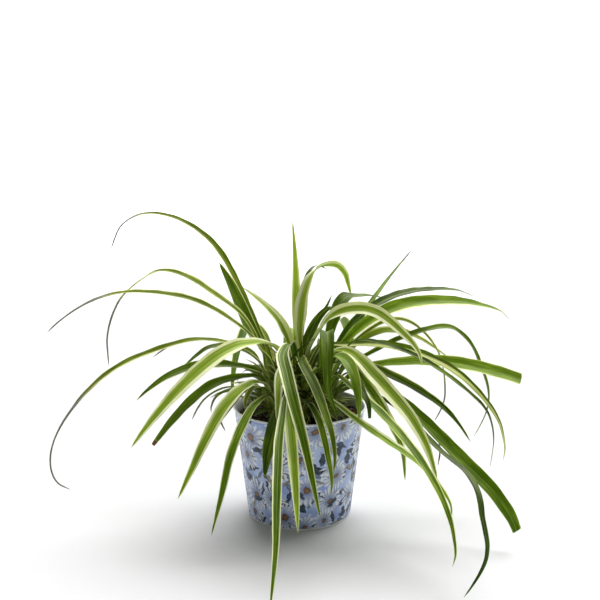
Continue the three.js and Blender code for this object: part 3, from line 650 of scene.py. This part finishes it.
def core_mesh(x, y, top):
    """The slim fluted core of a crown, from under the soil to its tip."""
    heights = np.append(SOIL_TOP - CROWN_DEPTH, np.linspace(SOIL_TOP, top, CORE_LEVELS))
    height = heights[:, None]
    angle = np.arange(CORE_SIDES) / CORE_SIDES * TURN
    radius = crown_radius(height, top) - 1.0 + 0.25 * np.cos(7 * angle + x)
    points = net_points(x + radius * np.cos(angle), y + radius * np.sin(angle), height)
    values = leaf_values(radius.shape, share=np.sin(3 * angle), reach=(height - SOIL_TOP) * MM,
                         half=6.0, seed=x + 50, pale=0.2, tone=-0.5)
    return points, barrel_faces(len(heights), CORE_SIDES), values


def sheath_mesh(x, y, top, number, rng):
    """One leaf sheath wrapped round a crown: higher numbers lie further in and end higher up."""
    middle = number * SHEATH_TURN + rng.uniform(-0.2, 0.2)
    seed = rng.uniform(0, SEEDS)
    rank = number / (SHEATHS - 1)
    t = np.linspace(0, 1, SHEATH_ROWS)[:, None]
    low = SOIL_TOP - CROWN_DEPTH
    high = SOIL_TOP + (top - SOIL_TOP) * (0.32 + 0.62 * rank)
    height = low + (high - low) * t
    wrap = 1.25 * (1 - t ** 2.2) + 0.12
    radius = crown_radius(height, top) + 0.55 - 0.8 * rank
    share = np.linspace(-1, 1, SHEATH_COLUMNS)
    share = np.append(share, share[::-1])
    outward = np.repeat([SHEATH_THICKNESS / 2, -SHEATH_THICKNESS / 2], SHEATH_COLUMNS)
    away = radius + 0.25 * abs(share) ** 3 + outward
    angle = middle + wrap * share
    points = net_points(x + away * np.cos(angle), y + away * np.sin(angle), height)
    values = leaf_values(angle.shape, share=share, reach=(height - SOIL_TOP) * MM, half=radius * wrap,
                         seed=seed, margin_right=0.16, margin_left=0.16,
                         dry=0.9 * (t > 0.75) * (number < DRY_SHEATHS), brown=0.4,
                         pale=0.75 * (1 - t) ** 2, tone=-0.4 + 0.3 * rank)
    return points, strip_faces(SHEATH_ROWS, SHEATH_COLUMNS), values


def crown_piece(key):
    """Overlapping leaf sheaths round a slim core."""
    x, y, top = CROWNS[key]
    rng = random.Random("crown" + key)
    sheaths = [sheath_mesh(x, y, top, number, rng) for number in range(SHEATHS)]
    piece = leaf_piece("sheaths_" + key, "olive", [core_mesh(x, y, top)] + sheaths)
    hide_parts("crown_" + key)


for crown in CROWNS:
    crown_piece(crown)


# young leaves
# share of the kind, root over the soil, length, width, lean from upright, further bend; in mm
# and radians
YOUNG_KINDS = [
    (0.25, (8, 34), (28, 66), (5.5, 9.0), (0.2, 0.9), (0.8, 1.2)),
    (0.45, (10, 30), (38, 66), (8.0, 12.5), (0.8, 1.2), (0.5, 1.2)),
    (0.30, (8, 18), (24, 48), (6.5, 10.0), (1.1, 1.5), (-0.3, 0.5)),
]
YOUNG_TRIES = 2200
YOUNG_WANTED = 30
YOUNG_STRETCHES = 8
YOUNG_FOLD = 0.35
# tones of the young leaves, from -1, deep, to 1, light: each leaf's own tone differs at random, and the
# range leans dark as painted shade for the deep shadow among the leaves round the crowns
YOUNG_TONES_AND_SHADE = (-0.75, 0.45)
YOUNG_MARGINS = (NO_CREAM, NO_CREAM, 0.14)
YOUNG_CLEARANCE = 1.7 * MM
# a young leaf may touch others this near to its crown's axis
YOUNG_FREE_START = 9 * MM
# it keeps this far over the soil, and stays inside this radius up to this height
OVER_SOIL = 3
INSIDE_RIM = 60.5
OVER_RIM = 112


def young_rows(crown, rng):
    """Rows of one short leaf: it stands up out of a crown and bends over, or lies low."""
    x, y, top = crown
    angle = rng.uniform(0, TURN)
    kind = rng.choices(YOUNG_KINDS, [k[0] for k in YOUNG_KINDS])[0]
    rise, length, width, lean, bow = (rng.uniform(*span) for span in kind[1:])
    start = SOIL_TOP + rise
    away = np.array([math.cos(angle), math.sin(angle), 0])
    side = np.array([-math.sin(angle), math.cos(angle), 0])
    out, up = crown_radius(start, top) * 0.55, start - 6 * math.cos(lean)
    rows = []
    for t in np.linspace(0, 1, YOUNG_STRETCHES + 1):
        slope = lean + bow * t ** 1.5
        widening = 0.55 + 0.45 * math.sin(math.pi * min(t * 1.3, 1) / 2)
        half = width / 2 * widening * (1 - 0.82 * t ** 3)
        middle = np.array([x, y, up]) + away * out
        fold = (np.array([0, 0, 1]) * math.sin(slope) - away * math.cos(slope)) * half * YOUNG_FOLD
        rows.append([middle, middle - side * half + fold, middle + side * half + fold])
        out += math.sin(slope) * length / YOUNG_STRETCHES
        up += math.cos(slope) * length / YOUNG_STRETCHES
    return np.array(rows) * MM


def clear_of_pot(points):
    """True where points keep off the soil, the pot's wall and its rim."""
    radius = norm(points[:, :2], axis=1)
    over_soil = (points[:, 2] > (SOIL_TOP + OVER_SOIL) * MM).all()
    return over_soil and not ((radius > INSIDE_RIM * MM) & (points[:, 2] < OVER_RIM * MM)).any()


def clear_of_leaves(free, tree, own):
    """True where points keep off the leaves in the tree and off the crown's own young leaves."""
    if min(tree.find(point)[2] for point in free) < YOUNG_CLEARANCE:
        return False
    if not own:
        return True
    return np.square(free[:, None] - np.concatenate(own)).sum(-1).min() >= YOUNG_CLEARANCE ** 2


def young_leaves(key, crown, tree, traced):
    """Short leaves round a crown, each of them clear of the large leaves and of each other."""
    rng = random.Random("young" + key)
    core = np.array(crown[:2]) * MM
    blades, own = list(traced), []
    for attempt in range(YOUNG_TRIES):
        rows = young_rows(crown, rng)
        # a random tone, darker on the whole as painted shade
        shade = rng.uniform(*YOUNG_TONES_AND_SHADE)
        margin = rng.choice(YOUNG_MARGINS)
        path = spots_along(rows, 0.5)
        free = path[norm(path[:, :2] - core, axis=1) > YOUNG_FREE_START]
        if len(free) == 0 or not clear_of_pot(free) or not clear_of_leaves(free, tree, own):
            continue
        name = f"young{key}{attempt}"
        blades.append(blade_mesh(name, rows, right=margin, left=margin, tone=shade, base_rows=1))
        own.append(free)
        if len(blades) == YOUNG_WANTED:
            break
    piece = leaf_piece("young_" + key, "dark", blades)
    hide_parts("crown_" + key)
    return own


# small leaves that stand apart in the photograph: crown, width, style, points in mm
SMALL_LEAVES = {
    "behind_kink": ("back", 11, dict(tone=0.1), [
        (-2, 20, 112), (2, 19, 146), (8, 20, 170), (16, 21, 188), (26, 22, 200), (36, 23, 203)]),
    "rim_curl": ("left_rear", 5, dict(tone=-0.2), [
        (-24, 10, 112), (-33, 14, 133), (-44, 22, 138), (-54, 28, 137), (-60, 34, 129),
        (-65, 40, 119)]),
    "thin_b": ("left_front", 3.4, dict(dry=0.7, tone=0.1), [
        (-24, -9, 106), (-32, -5, 120), (-48, -6, 132), (-57, -13, 131), (-71, -18, 129),
        (-80, -22, 124), (-84, -26, 116), (-84, -30, 111)]),
    "thin_c": ("left_front", 3.0, dict(dry=0.45, tone=-0.2), [
        (-24, -11, 104), (-31, -10, 122), (-43, -12, 134), (-54, -20, 128), (-64, -26, 117),
        (-72, -32, 107), (-74, -37, 104), (-70, -42, 97)]),
}
# the way that the upper face of a small leaf looks
SMALL_UPWARD = (0.25, -0.5, 1.0)


def small_rows(points, width):
    """Rows of a small leaf along points in mm."""
    middle = np.array(points, float)
    side = unit(np.cross(unit(np.gradient(middle, axis=0)), SMALL_UPWARD))
    share = np.linspace(0, 1, len(points))
    half = (width / 2 * (1 - 0.85 * share ** 3) * (0.7 + 0.3 * ease(share * 3)))[:, None]
    return np.stack([middle, middle + side * half, middle - side * half], 1) * MM


small = {crown: [] for crown in CROWNS}
for leaf, (crown, width, style, points) in SMALL_LEAVES.items():
    rows = small_rows(points, width)
    small[crown].append(blade_mesh(leaf, rows, base_rows=1, **style))
    taken.append(spots_along(rows, 0.25))

for crown, place in CROWNS.items():
    spots = np.concatenate(taken)
    tree = KDTree(len(spots))
    for number, spot in enumerate(spots):
        tree.insert(spot, number)
    tree.balance()
    taken += young_leaves(crown, place, tree, small[crown])


# pot
POT_HEIGHT = 110
POT_TOP = 65
POT_FOOT = 50.5
POT_WALL = 1.3
POT_SIDES = 192
RIM = 1.1
RIM_STEPS = 10
# the turned surface starts and ends this near to the axis, and the weld closes what is left
AXIS = 0.001
WELD_GAP = 0.02 * MM
# the underside as radius and height: pad, groove, foot ring and the ring's rounded edge
UNDERSIDE = [(AXIS, 0), (40, 0), (40.8, 0.8), (45.9, 0.8), (46.6, 0), (50, 0), (50.5, 0.25), (50.75, 0.8)]
# heights of the wall's points outside and inside, and of the inner floor
OUTSIDE = np.linspace(1.6, 107.4, 19)
INSIDE = np.linspace(107, 3, 10)
POT_FLOOR = 2.5
# the pot is bare metal above the first heights and below the second, with a soft edge
BARE_ABOVE = (107.9, 108.4)
BARE_BELOW = (2.4, 1.9)
# the print in mm: length of the drawn strip, and how far the hand's shake moves a line
PRINT_ROUND = 360
PRINT_SHAKE = 8
# layers of the print from the lowest up: kind, spacing, radius or length, width, share left out,
# shift, inks
PRINT_LAYERS = [
    ("leaf", 15, 9, 2.8, 0.3, (3, 7), ("56657c", "8897af")),
    ("leaf", 16, 9, 3.4, 0.2, (31, 45), ("0a121c", "26354a")),
    ("leaf", 19, 8, 2.4, 0.4, (71, 13), ("7a7963", "bdb79b")),
    ("daisy", 31, 19, 0, 0.0, (11, 4), None),
    ("leaf", 19, 8, 3.0, 0.45, (97, 57), ("121c2a", "36475f")),
    ("daisy", 40, 16, 0, 0.5, (47, 83), None),
    ("leaf", 26, 7, 2.2, 0.6, (17, 91), ("6c6a55", "b0aa8e")),
]


def print_group(name, sizes, output, kind, draw):
    """A node group for one motif: sizes are its own inputs, output is what it gives with a mask."""
    group = bpy.data.node_groups.new(name, "ShaderNodeTree")
    sockets = [("Place", "INPUT", "Vector"), ("Mask", "OUTPUT", "Float"), (output, "OUTPUT", kind)]
    sockets += [(label, "INPUT", "Float") for label in ("Spacing", "Missing", *sizes)]
    for label, way, form in sockets:
        group.interface.new_socket(name=label, in_out=way, socket_type="NodeSocket" + form)
    n = Nodes(group)
    draw(n, n.add("NodeGroupInput").outputs, n.add("NodeGroupOutput").inputs)
    return group


def cell(n, given):
    """The nearest point of a loose net: the way from it in mm, three chance numbers, if it shows."""
    net = n.add("ShaderNodeTexVoronoi", {
        "Vector": given["Place"], "Scale": n.math("DIVIDE", 1.0, given["Spacing"]),
        "Randomness": 0.75}, voronoi_dimensions="2D")
    parts = n.split(n.vector("SUBTRACT", given["Place"], net.outputs["Position"]))
    chance = n.add("ShaderNodeSeparateColor", {0: net.outputs["Color"]}).outputs
    shown = n.step(n.minus(chance[2], given["Missing"]), 0.0, 0.01)
    return parts[0], parts[1], chance, shown


def draw_daisy(n, given, result):
    """One many-petalled daisy in each cell, with slender petals of uneven length."""
    across, up, chance, shown = cell(n, given)
    far = n.math("SQRT", n.plus(n.times(across, across), n.times(up, up)))
    radius = n.times(given["Radius"], n.plus(n.times(chance[0], 0.35), 0.8))
    r = n.math("DIVIDE", far, radius)
    angle = n.plus(n.math("ARCTAN2", up, across), n.times(chance[1], TURN))
    # fifteen, seventeen or nineteen petals, with a gap between neighbours that opens outward
    petals = n.plus(15.0, n.times(2.0, n.math("ROUND", n.times(chance[2], 2.0))))
    ridge = n.math("ABSOLUTE", n.math("COSINE", n.times(angle, n.times(petals, 0.5))))
    wobble = n.plus(n.times(n.math("SINE", n.times(angle, 3.0)), 0.08),
                    n.times(n.math("SINE", n.times(angle, 7.0)), 0.06))
    reach = n.plus(n.plus(n.times(ridge, 0.3), 0.58), wobble)
    tips = n.step(n.minus(reach, r), 0.0, 0.1)
    split = n.step(n.minus(ridge, n.plus(n.times(r, 0.42), 0.08)), -0.06, 0.14)
    glow = n.times(n.step(r, 0.1, 0.7, 0.1, 1.0), n.step(ridge, 0.35, 0.95, 0.3, 1.0))
    petal_colour = n.mix(glow, "7489b8", "f2f6ff")
    core_colour = n.mix(n.step(r, 0.06, 0.17), "946a3a", "4a3424")
    core = n.step(r, 0.2, 0.13)
    n.put(result["Mask"], n.times(shown, n.most(n.times(tips, split), core)))
    n.put(result["Colour"], n.mix(core, petal_colour, core_colour))


def draw_leaf(n, given, result):
    """One slim leaf in each cell, turned by chance, with a pale vein and one lighter half."""
    across, up, chance, shown = cell(n, given)
    turn = n.times(chance[0], TURN)
    cosine = n.math("COSINE", turn)
    sine = n.math("SINE", turn)
    x = n.plus(n.times(across, cosine), n.times(up, sine))
    y = n.minus(n.times(up, cosine), n.times(across, sine))
    y = n.plus(y, n.times(n.times(x, x), 0.025))
    q = n.math("DIVIDE", x, given["Length"])
    width = n.times(given["Width"], n.plus(n.times(chance[1], 0.6), 0.7))
    edge = n.times(n.minus(1.0, n.times(q, q)), width)
    away = n.math("ABSOLUTE", y)
    n.put(result["Mask"], n.times(shown, n.step(n.minus(edge, away), 0.0, 0.8)))
    vein = n.step(away, 0.6, 0.1)
    n.put(result["Shade"], n.most(n.step(y, -0.5, 0.5, 0.0, 0.5), vein))


def print_colour(n, flat, drawn):
    """A dusty blue wash with the print's layers over it, drawn with dry strokes of the brush."""
    strokes = n.step(n.noise(drawn, 0.7, 4.0, 0.65), 0.46, 0.7, 0, 0.6)
    colour = n.mix(n.step(n.noise(flat, 0.06, 4.0), 0.38, 0.6), "9eb3e8", "c2d4f8")
    groups = {
        "daisy": print_group("daisy", ["Radius"], "Colour", "Color", draw_daisy),
        "leaf": print_group("sprig", ["Length", "Width"], "Shade", "Float", draw_leaf),
    }
    for kind, spacing, size, width, missing, shift, inks in PRINT_LAYERS:
        motif = n.add("ShaderNodeGroup", node_tree=groups[kind])
        place = n.vector("ADD", drawn, (*shift, 0))
        n.fill(motif, {"Place": place, "Spacing": spacing, "Missing": missing})
        if kind == "daisy":
            n.fill(motif, {"Radius": size})
            ink = motif.outputs["Colour"]
        else:
            n.fill(motif, {"Length": size, "Width": width})
            ink = n.mix(strokes, n.mix(motif.outputs["Shade"], *inks), "5f7fa8")
        colour = n.mix(n.times(motif.outputs["Mask"], 0.98), colour, ink)
    streak = n.noise(drawn, 0.4, 4.0, 0.6)
    return n.mix(n.step(streak, 0.35, 0.65, 0.1, 0.0), colour, "47546b")


def pot_material():
    """Enamelled tin with a generic print of daisies and slim leaves, and an inside darkened with painted
    shade.
    """
    material, n, shader = new_material("pot_print")
    parts = n.split(n.add("ShaderNodeUVMap", uv_map="UVMap").outputs[0])
    u = n.times(parts[0], PRINT_ROUND)
    v = n.times(parts[1], POT_HEIGHT)
    flat = n.join(u, v)
    shake = n.add("ShaderNodeTexNoise", {"Vector": flat, "Scale": 0.16, "Detail": 4.0})
    hand = n.vector("SUBTRACT", shake.outputs["Color"], (0.5, 0.5, 0.5))
    drawn = n.vector("MULTIPLY_ADD", hand, (PRINT_SHAKE, PRINT_SHAKE, 0), flat)
    colour = print_colour(n, flat, drawn)
    # bare metal at the rim, round the foot and inside, with painted shade over nearly all of the inside,
    # mottled by noise
    bare = n.most(n.step(v, *BARE_ABOVE), n.step(v, *BARE_BELOW))
    bare = n.most(bare, n.minus(1.0, n.attribute("print")))
    colour = n.mix(bare, colour, "f4f7fc")
    # painted shade inside the pot: a dark grey-brown at three quarters to full strength
    inside_shade = n.step(n.noise(flat, 0.12, 4.0, 0.6), 0.3, 0.6, 0.75, 1.0)
    colour = n.mix(n.times(n.attribute("inside"), inside_shade), colour, "4a4640")
    grime = n.noise(flat, 0.5, 4.0, 0.65)
    colour = n.mix(n.step(grime, 0.58, 0.8, 0, 0.18), colour, "6e6a66")
    dents = n.noise(flat, 0.03, 1.0)
    n.fill(shader, {
        "Base Color": colour,
        "Roughness": n.step(grime, 0.2, 0.8, 0.3, 0.48),
        "Normal": n.bump(n.plus(dents, n.times(grime, 0.02)), 1.2 * MM, 0.5),
        "Specular IOR Level": 0.3,
        "Coat Weight": 0.1,
        "Coat Roughness": 0.25,
    })
    return material


def wall_radius(z):
    """Outside radius of the pot's wall at a height."""
    return POT_FOOT + (POT_TOP - RIM - POT_FOOT) * z / POT_HEIGHT


def pot_piece():
    """The pot turned from one profile, from under its foot over the rim to its inner floor."""
    profile = UNDERSIDE + [(wall_radius(z), z) for z in OUTSIDE]
    # the print covers the wall and the outer half of the rim
    first_printed, last_printed = len(UNDERSIDE) - 1, len(profile) + RIM_STEPS // 2
    for angle in np.radians(np.linspace(-30, 180, RIM_STEPS + 1)):
        out, up = RIM * math.cos(angle), RIM * math.sin(angle)
        profile.append((POT_TOP - RIM + out, POT_HEIGHT - RIM + up))
    inside_start = len(profile) + 1
    profile += [(wall_radius(z) - POT_WALL, z) for z in INSIDE] + [(AXIS, POT_FLOOR)]
    radius, z = np.array(profile).T[:, :, None]
    round_share = np.arange(POT_SIDES + 1) / POT_SIDES
    # the print's seam is at the back
    angle = round_share * TURN + TURN / 4
    points = net_points(radius * np.cos(angle), radius * np.sin(angle), z)
    uv = np.stack(np.broadcast_arrays(round_share, z / POT_HEIGHT), -1).reshape(-1, 2)
    row = np.repeat(np.arange(len(profile)), POT_SIDES + 1)
    values = {"print": (row >= first_printed) & (row <= last_printed),
              "inside": row >= inside_start}
    faces = grid_faces(len(profile), POT_SIDES + 1, False)
    piece = make_piece("printed_pot", points, faces, pot_material(), values, uv, 35)
    # the seam that the print needs is closed in the mesh, and the print keeps its own corners
    weld = piece.modifiers.new("weld", "WELD")
    weld.merge_threshold = WELD_GAP
    bpy.context.view_layer.update()
    graph = bpy.context.evaluated_depsgraph_get()
    welded = bpy.data.meshes.new_from_object(piece.evaluated_get(graph))
    piece.modifiers.clear()
    piece.data = welded
    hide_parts("pot")


pot_piece()


# soil
SOIL_GAP = 0.25
SOIL_RINGS = 46
SOIL_SIDES = 128
SOIL_ROUGH = 0.25
# radius of the flat face that closes the surface in the middle
SOIL_MIDDLE = 0.05
# heights of the two rings under the surface, which close the body
SOIL_BASE = (3, 80)
# pitch and height of the lumps
LUMPS = ((9.0, 1.1), (4.1, 0.7), (1.9, 0.35))
# crumbs lie inside this field and end before this limit
CRUMB_FIELD = 61.5
CRUMB_LIMIT = 62.2
CRUMBS = 1500
FINE_CRUMBS = 1250
FINE_SIZE = (0.5, 1.7)
COARSE_SIZE = (1.6, 2.6)
# kinds of crumb by chance: soil up to the first number, bark up to the second, then fibre
BARK = 0.6
FIBRE = 0.93
SOIL_KIND = 0.2
GOLDEN = (1 + 5 ** 0.5) / 2
# a crumb's corners are those of an icosahedron
CORNERS = [np.roll((short, long, 0), turn) for turn in range(3)
           for long in (GOLDEN, -GOLDEN) for short in (-1, 1)]
# they lie this far from its middle, and two of them nearer than the second number are neighbours
CORNER_REACH = 1.9
NEIGHBOURS = 2.1


def soil_material():
    """Dark crumbs with brown bark and pale fibre, told apart by the number kind."""
    material, n, shader = new_material("potting_soil")
    place = n.add("ShaderNodeTexCoord").outputs["Object"]
    grain = n.noise(place, 420, 5.0, 0.65)
    patch = n.noise(place, 60, 3.0)
    kind = n.attribute("kind")
    colour = n.mix(n.step(grain, 0.35, 0.65), "140d08", "3b2717")
    colour = n.mix(n.step(patch, 0.5, 0.7, 0, 0.5), colour, "22170f")
    bark = n.mix(n.step(grain, 0.3, 0.7), "4a2c16", "7b5230")
    colour = n.mix(n.step(kind, BARK - 0.05, BARK + 0.05), colour, bark)
    fibre = n.mix(n.step(grain, 0.3, 0.7), "7d6645", "a58d68")
    colour = n.mix(n.step(kind, FIBRE - 0.01, FIBRE + 0.03), colour, fibre)
    n.fill(shader, {
        "Base Color": colour,
        "Roughness": n.step(grain, 0.2, 0.8, 0.7, 0.98),
        "Normal": n.bump(grain, 1.2 * MM, 0.9),
    })
    return material


def lumps(x, y):
    """Height of the coarse surface over its mean, in mm."""
    total = 0.0
    for k, (pitch, size) in enumerate(LUMPS):
        across = np.sin(x / pitch * 2.1 + k * 1.3 + 1.7 * np.sin(y / pitch + k))
        along = np.cos(y / pitch * 1.9 + k * 2.2 + 1.3 * np.sin(x / pitch * 1.2))
        total = total + size * across * along
    return total


def soil_body(rng):
    """Points and faces of the closed body under the crumbs: base, skirt and lumpy surface."""
    base = np.array(SOIL_BASE)
    surface = 1 - np.arange(SOIL_RINGS + 1) / SOIL_RINGS
    inset = POT_WALL + SOIL_GAP
    top = (wall_radius(SOIL_TOP) - inset) * surface + SOIL_MIDDLE
    radius = np.append(wall_radius(base) - inset, top)[:, None]
    angle = np.arange(SOIL_SIDES) / SOIL_SIDES * TURN
    x, y = radius * np.cos(angle), radius * np.sin(angle)
    rough = [[rng.uniform(-SOIL_ROUGH, SOIL_ROUGH) for _ in range(SOIL_SIDES)] for _ in surface]
    z = SOIL_TOP + lumps(x, y)
    z[len(base):] += rough
    z[:len(base)] = base[:, None]
    return net_points(x, y, z), barrel_faces(len(radius), SOIL_SIDES)


def crumb_faces():
    """The triangles between neighbouring corners of an icosahedron, facing out."""
    faces = []
    for three in itertools.combinations(range(len(CORNERS)), 3):
        a, b, c = (CORNERS[i] for i in three)
        if max(norm(a - b), norm(b - c), norm(c - a)) < NEIGHBOURS:
            outward = np.cross(b - a, c - a) @ a > 0
            faces.append(three if outward else three[::-1])
    return faces


def crumb(number, rng):
    """Corners of one crumb and its kind, or no corners where it would reach the wall."""
    radius, angle = CRUMB_FIELD * math.sqrt(rng.random()), rng.uniform(0, TURN)
    x, y = radius * math.cos(angle), radius * math.sin(angle)
    kind = rng.random()
    size = rng.uniform(*(FINE_SIZE if number < FINE_CRUMBS else COARSE_SIZE))
    stretch = rng.uniform(2.0, 3.6) if kind > FIBRE else rng.uniform(0.9, 1.8)
    thin = 0.35 if kind > FIBRE else rng.uniform(0.5, 0.9)
    turn = rng.uniform(0, TURN / 2)
    if radius + size * stretch > CRUMB_LIMIT:
        return [], kind
    z = SOIL_TOP + lumps(x, y) + size * 0.25
    corners = []
    for corner in CORNERS:
        uneven = size / CORNER_REACH * rng.uniform(0.75, 1.25)
        px, py, pz = corner * uneven * (stretch, thin, thin)
        corners.append((x + px * math.cos(turn) - py * math.sin(turn),
                        y + px * math.sin(turn) + py * math.cos(turn), z + pz))
    return corners, kind


def soil_piece():
    """The soil's body with loose crumbs, bark and fibre on it."""
    rng = random.Random(5)
    points, faces = soil_body(rng)
    kinds = [SOIL_KIND] * len(points)
    loose, triangles = [], crumb_faces()
    for number in range(CRUMBS):
        corners, kind = crumb(number, rng)
        if corners:
            first = len(points) + len(loose)
            faces += [[first + i for i in face] for face in triangles]
        loose += corners
        kinds += [kind] * len(corners)
    points = np.concatenate([points, np.array(loose) * MM])
    piece = make_piece("potting_mix", points, faces, soil_material(), {"kind": kinds}, None, 30)
    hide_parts("soil")


soil_piece()


# floor and backdrop, in metres
FLOOR_HALF_WIDTH = 9.0
FLOOR_FRONT = -8.0
FLOOR_BACK = 7.0
FLOOR_TOP = 6.0
FLOOR_BEND = 3.0
FLOOR_BEND_STEPS = 16
FLOOR_TONES = (0.695, 0.71)
# the floor begins to glow at the first distance behind the pot, and glows fully at the second
FLOOR_GLOW = (0.5, 2.5)
BAND_RADIUS = 6.8
BAND_SIDES = 96
BAND_HEIGHTS = (-0.1, 3.4)
BAND_GLOW = 1.05


def floor_piece():
    """A light floor that bends up far behind the pot and turns white there."""
    material, n, shader = new_material("floor")
    place = n.add("ShaderNodeTexCoord").outputs["Object"]
    grain = n.noise(place, 40, 2.0)
    n.fill(shader, {
        "Base Color": n.mix(grain, *((tone, tone, tone, 1) for tone in FLOOR_TONES)),
        "Roughness": n.step(grain, 0, 1, 0.85, 0.95),
        "Specular IOR Level": 0.1,
        "Emission Color": WHITE,
        "Emission Strength": n.step(n.split(place)[1], *FLOOR_GLOW),
    })
    outline = [(FLOOR_FRONT, 0.0)]
    for angle in np.linspace(0, math.pi / 2, FLOOR_BEND_STEPS):
        outline.append((FLOOR_BACK - FLOOR_BEND + FLOOR_BEND * math.sin(angle),
                        FLOOR_BEND - FLOOR_BEND * math.cos(angle)))
    outline.append((FLOOR_BACK, FLOOR_TOP))
    points = [(x, y, z) for y, z in outline for x in (-FLOOR_HALF_WIDTH, FLOOR_HALF_WIDTH)]
    floor = new_object("floor", points, grid_faces(len(outline), 2, False), material)


def backdrop_piece():
    """A white band round the floor that only the camera sees, so that it adds no light."""
    material, n, shader = new_material("backdrop")
    n.fill(shader, {
        "Base Color": "000000",
        "Specular IOR Level": 0,
        "Emission Color": WHITE,
        "Emission Strength": BAND_GLOW,
    })
    points = [(BAND_RADIUS * math.cos(angle), BAND_RADIUS * math.sin(angle), z) for z in BAND_HEIGHTS
              for angle in np.linspace(0, TURN, BAND_SIDES, endpoint=False)]
    band = new_object("backdrop", points, grid_faces(2, BAND_SIDES, True), material)
    for ray in ("diffuse", "glossy", "transmission", "shadow"):
        setattr(band, "visible_" + ray, False)


floor_piece()
backdrop_piece()
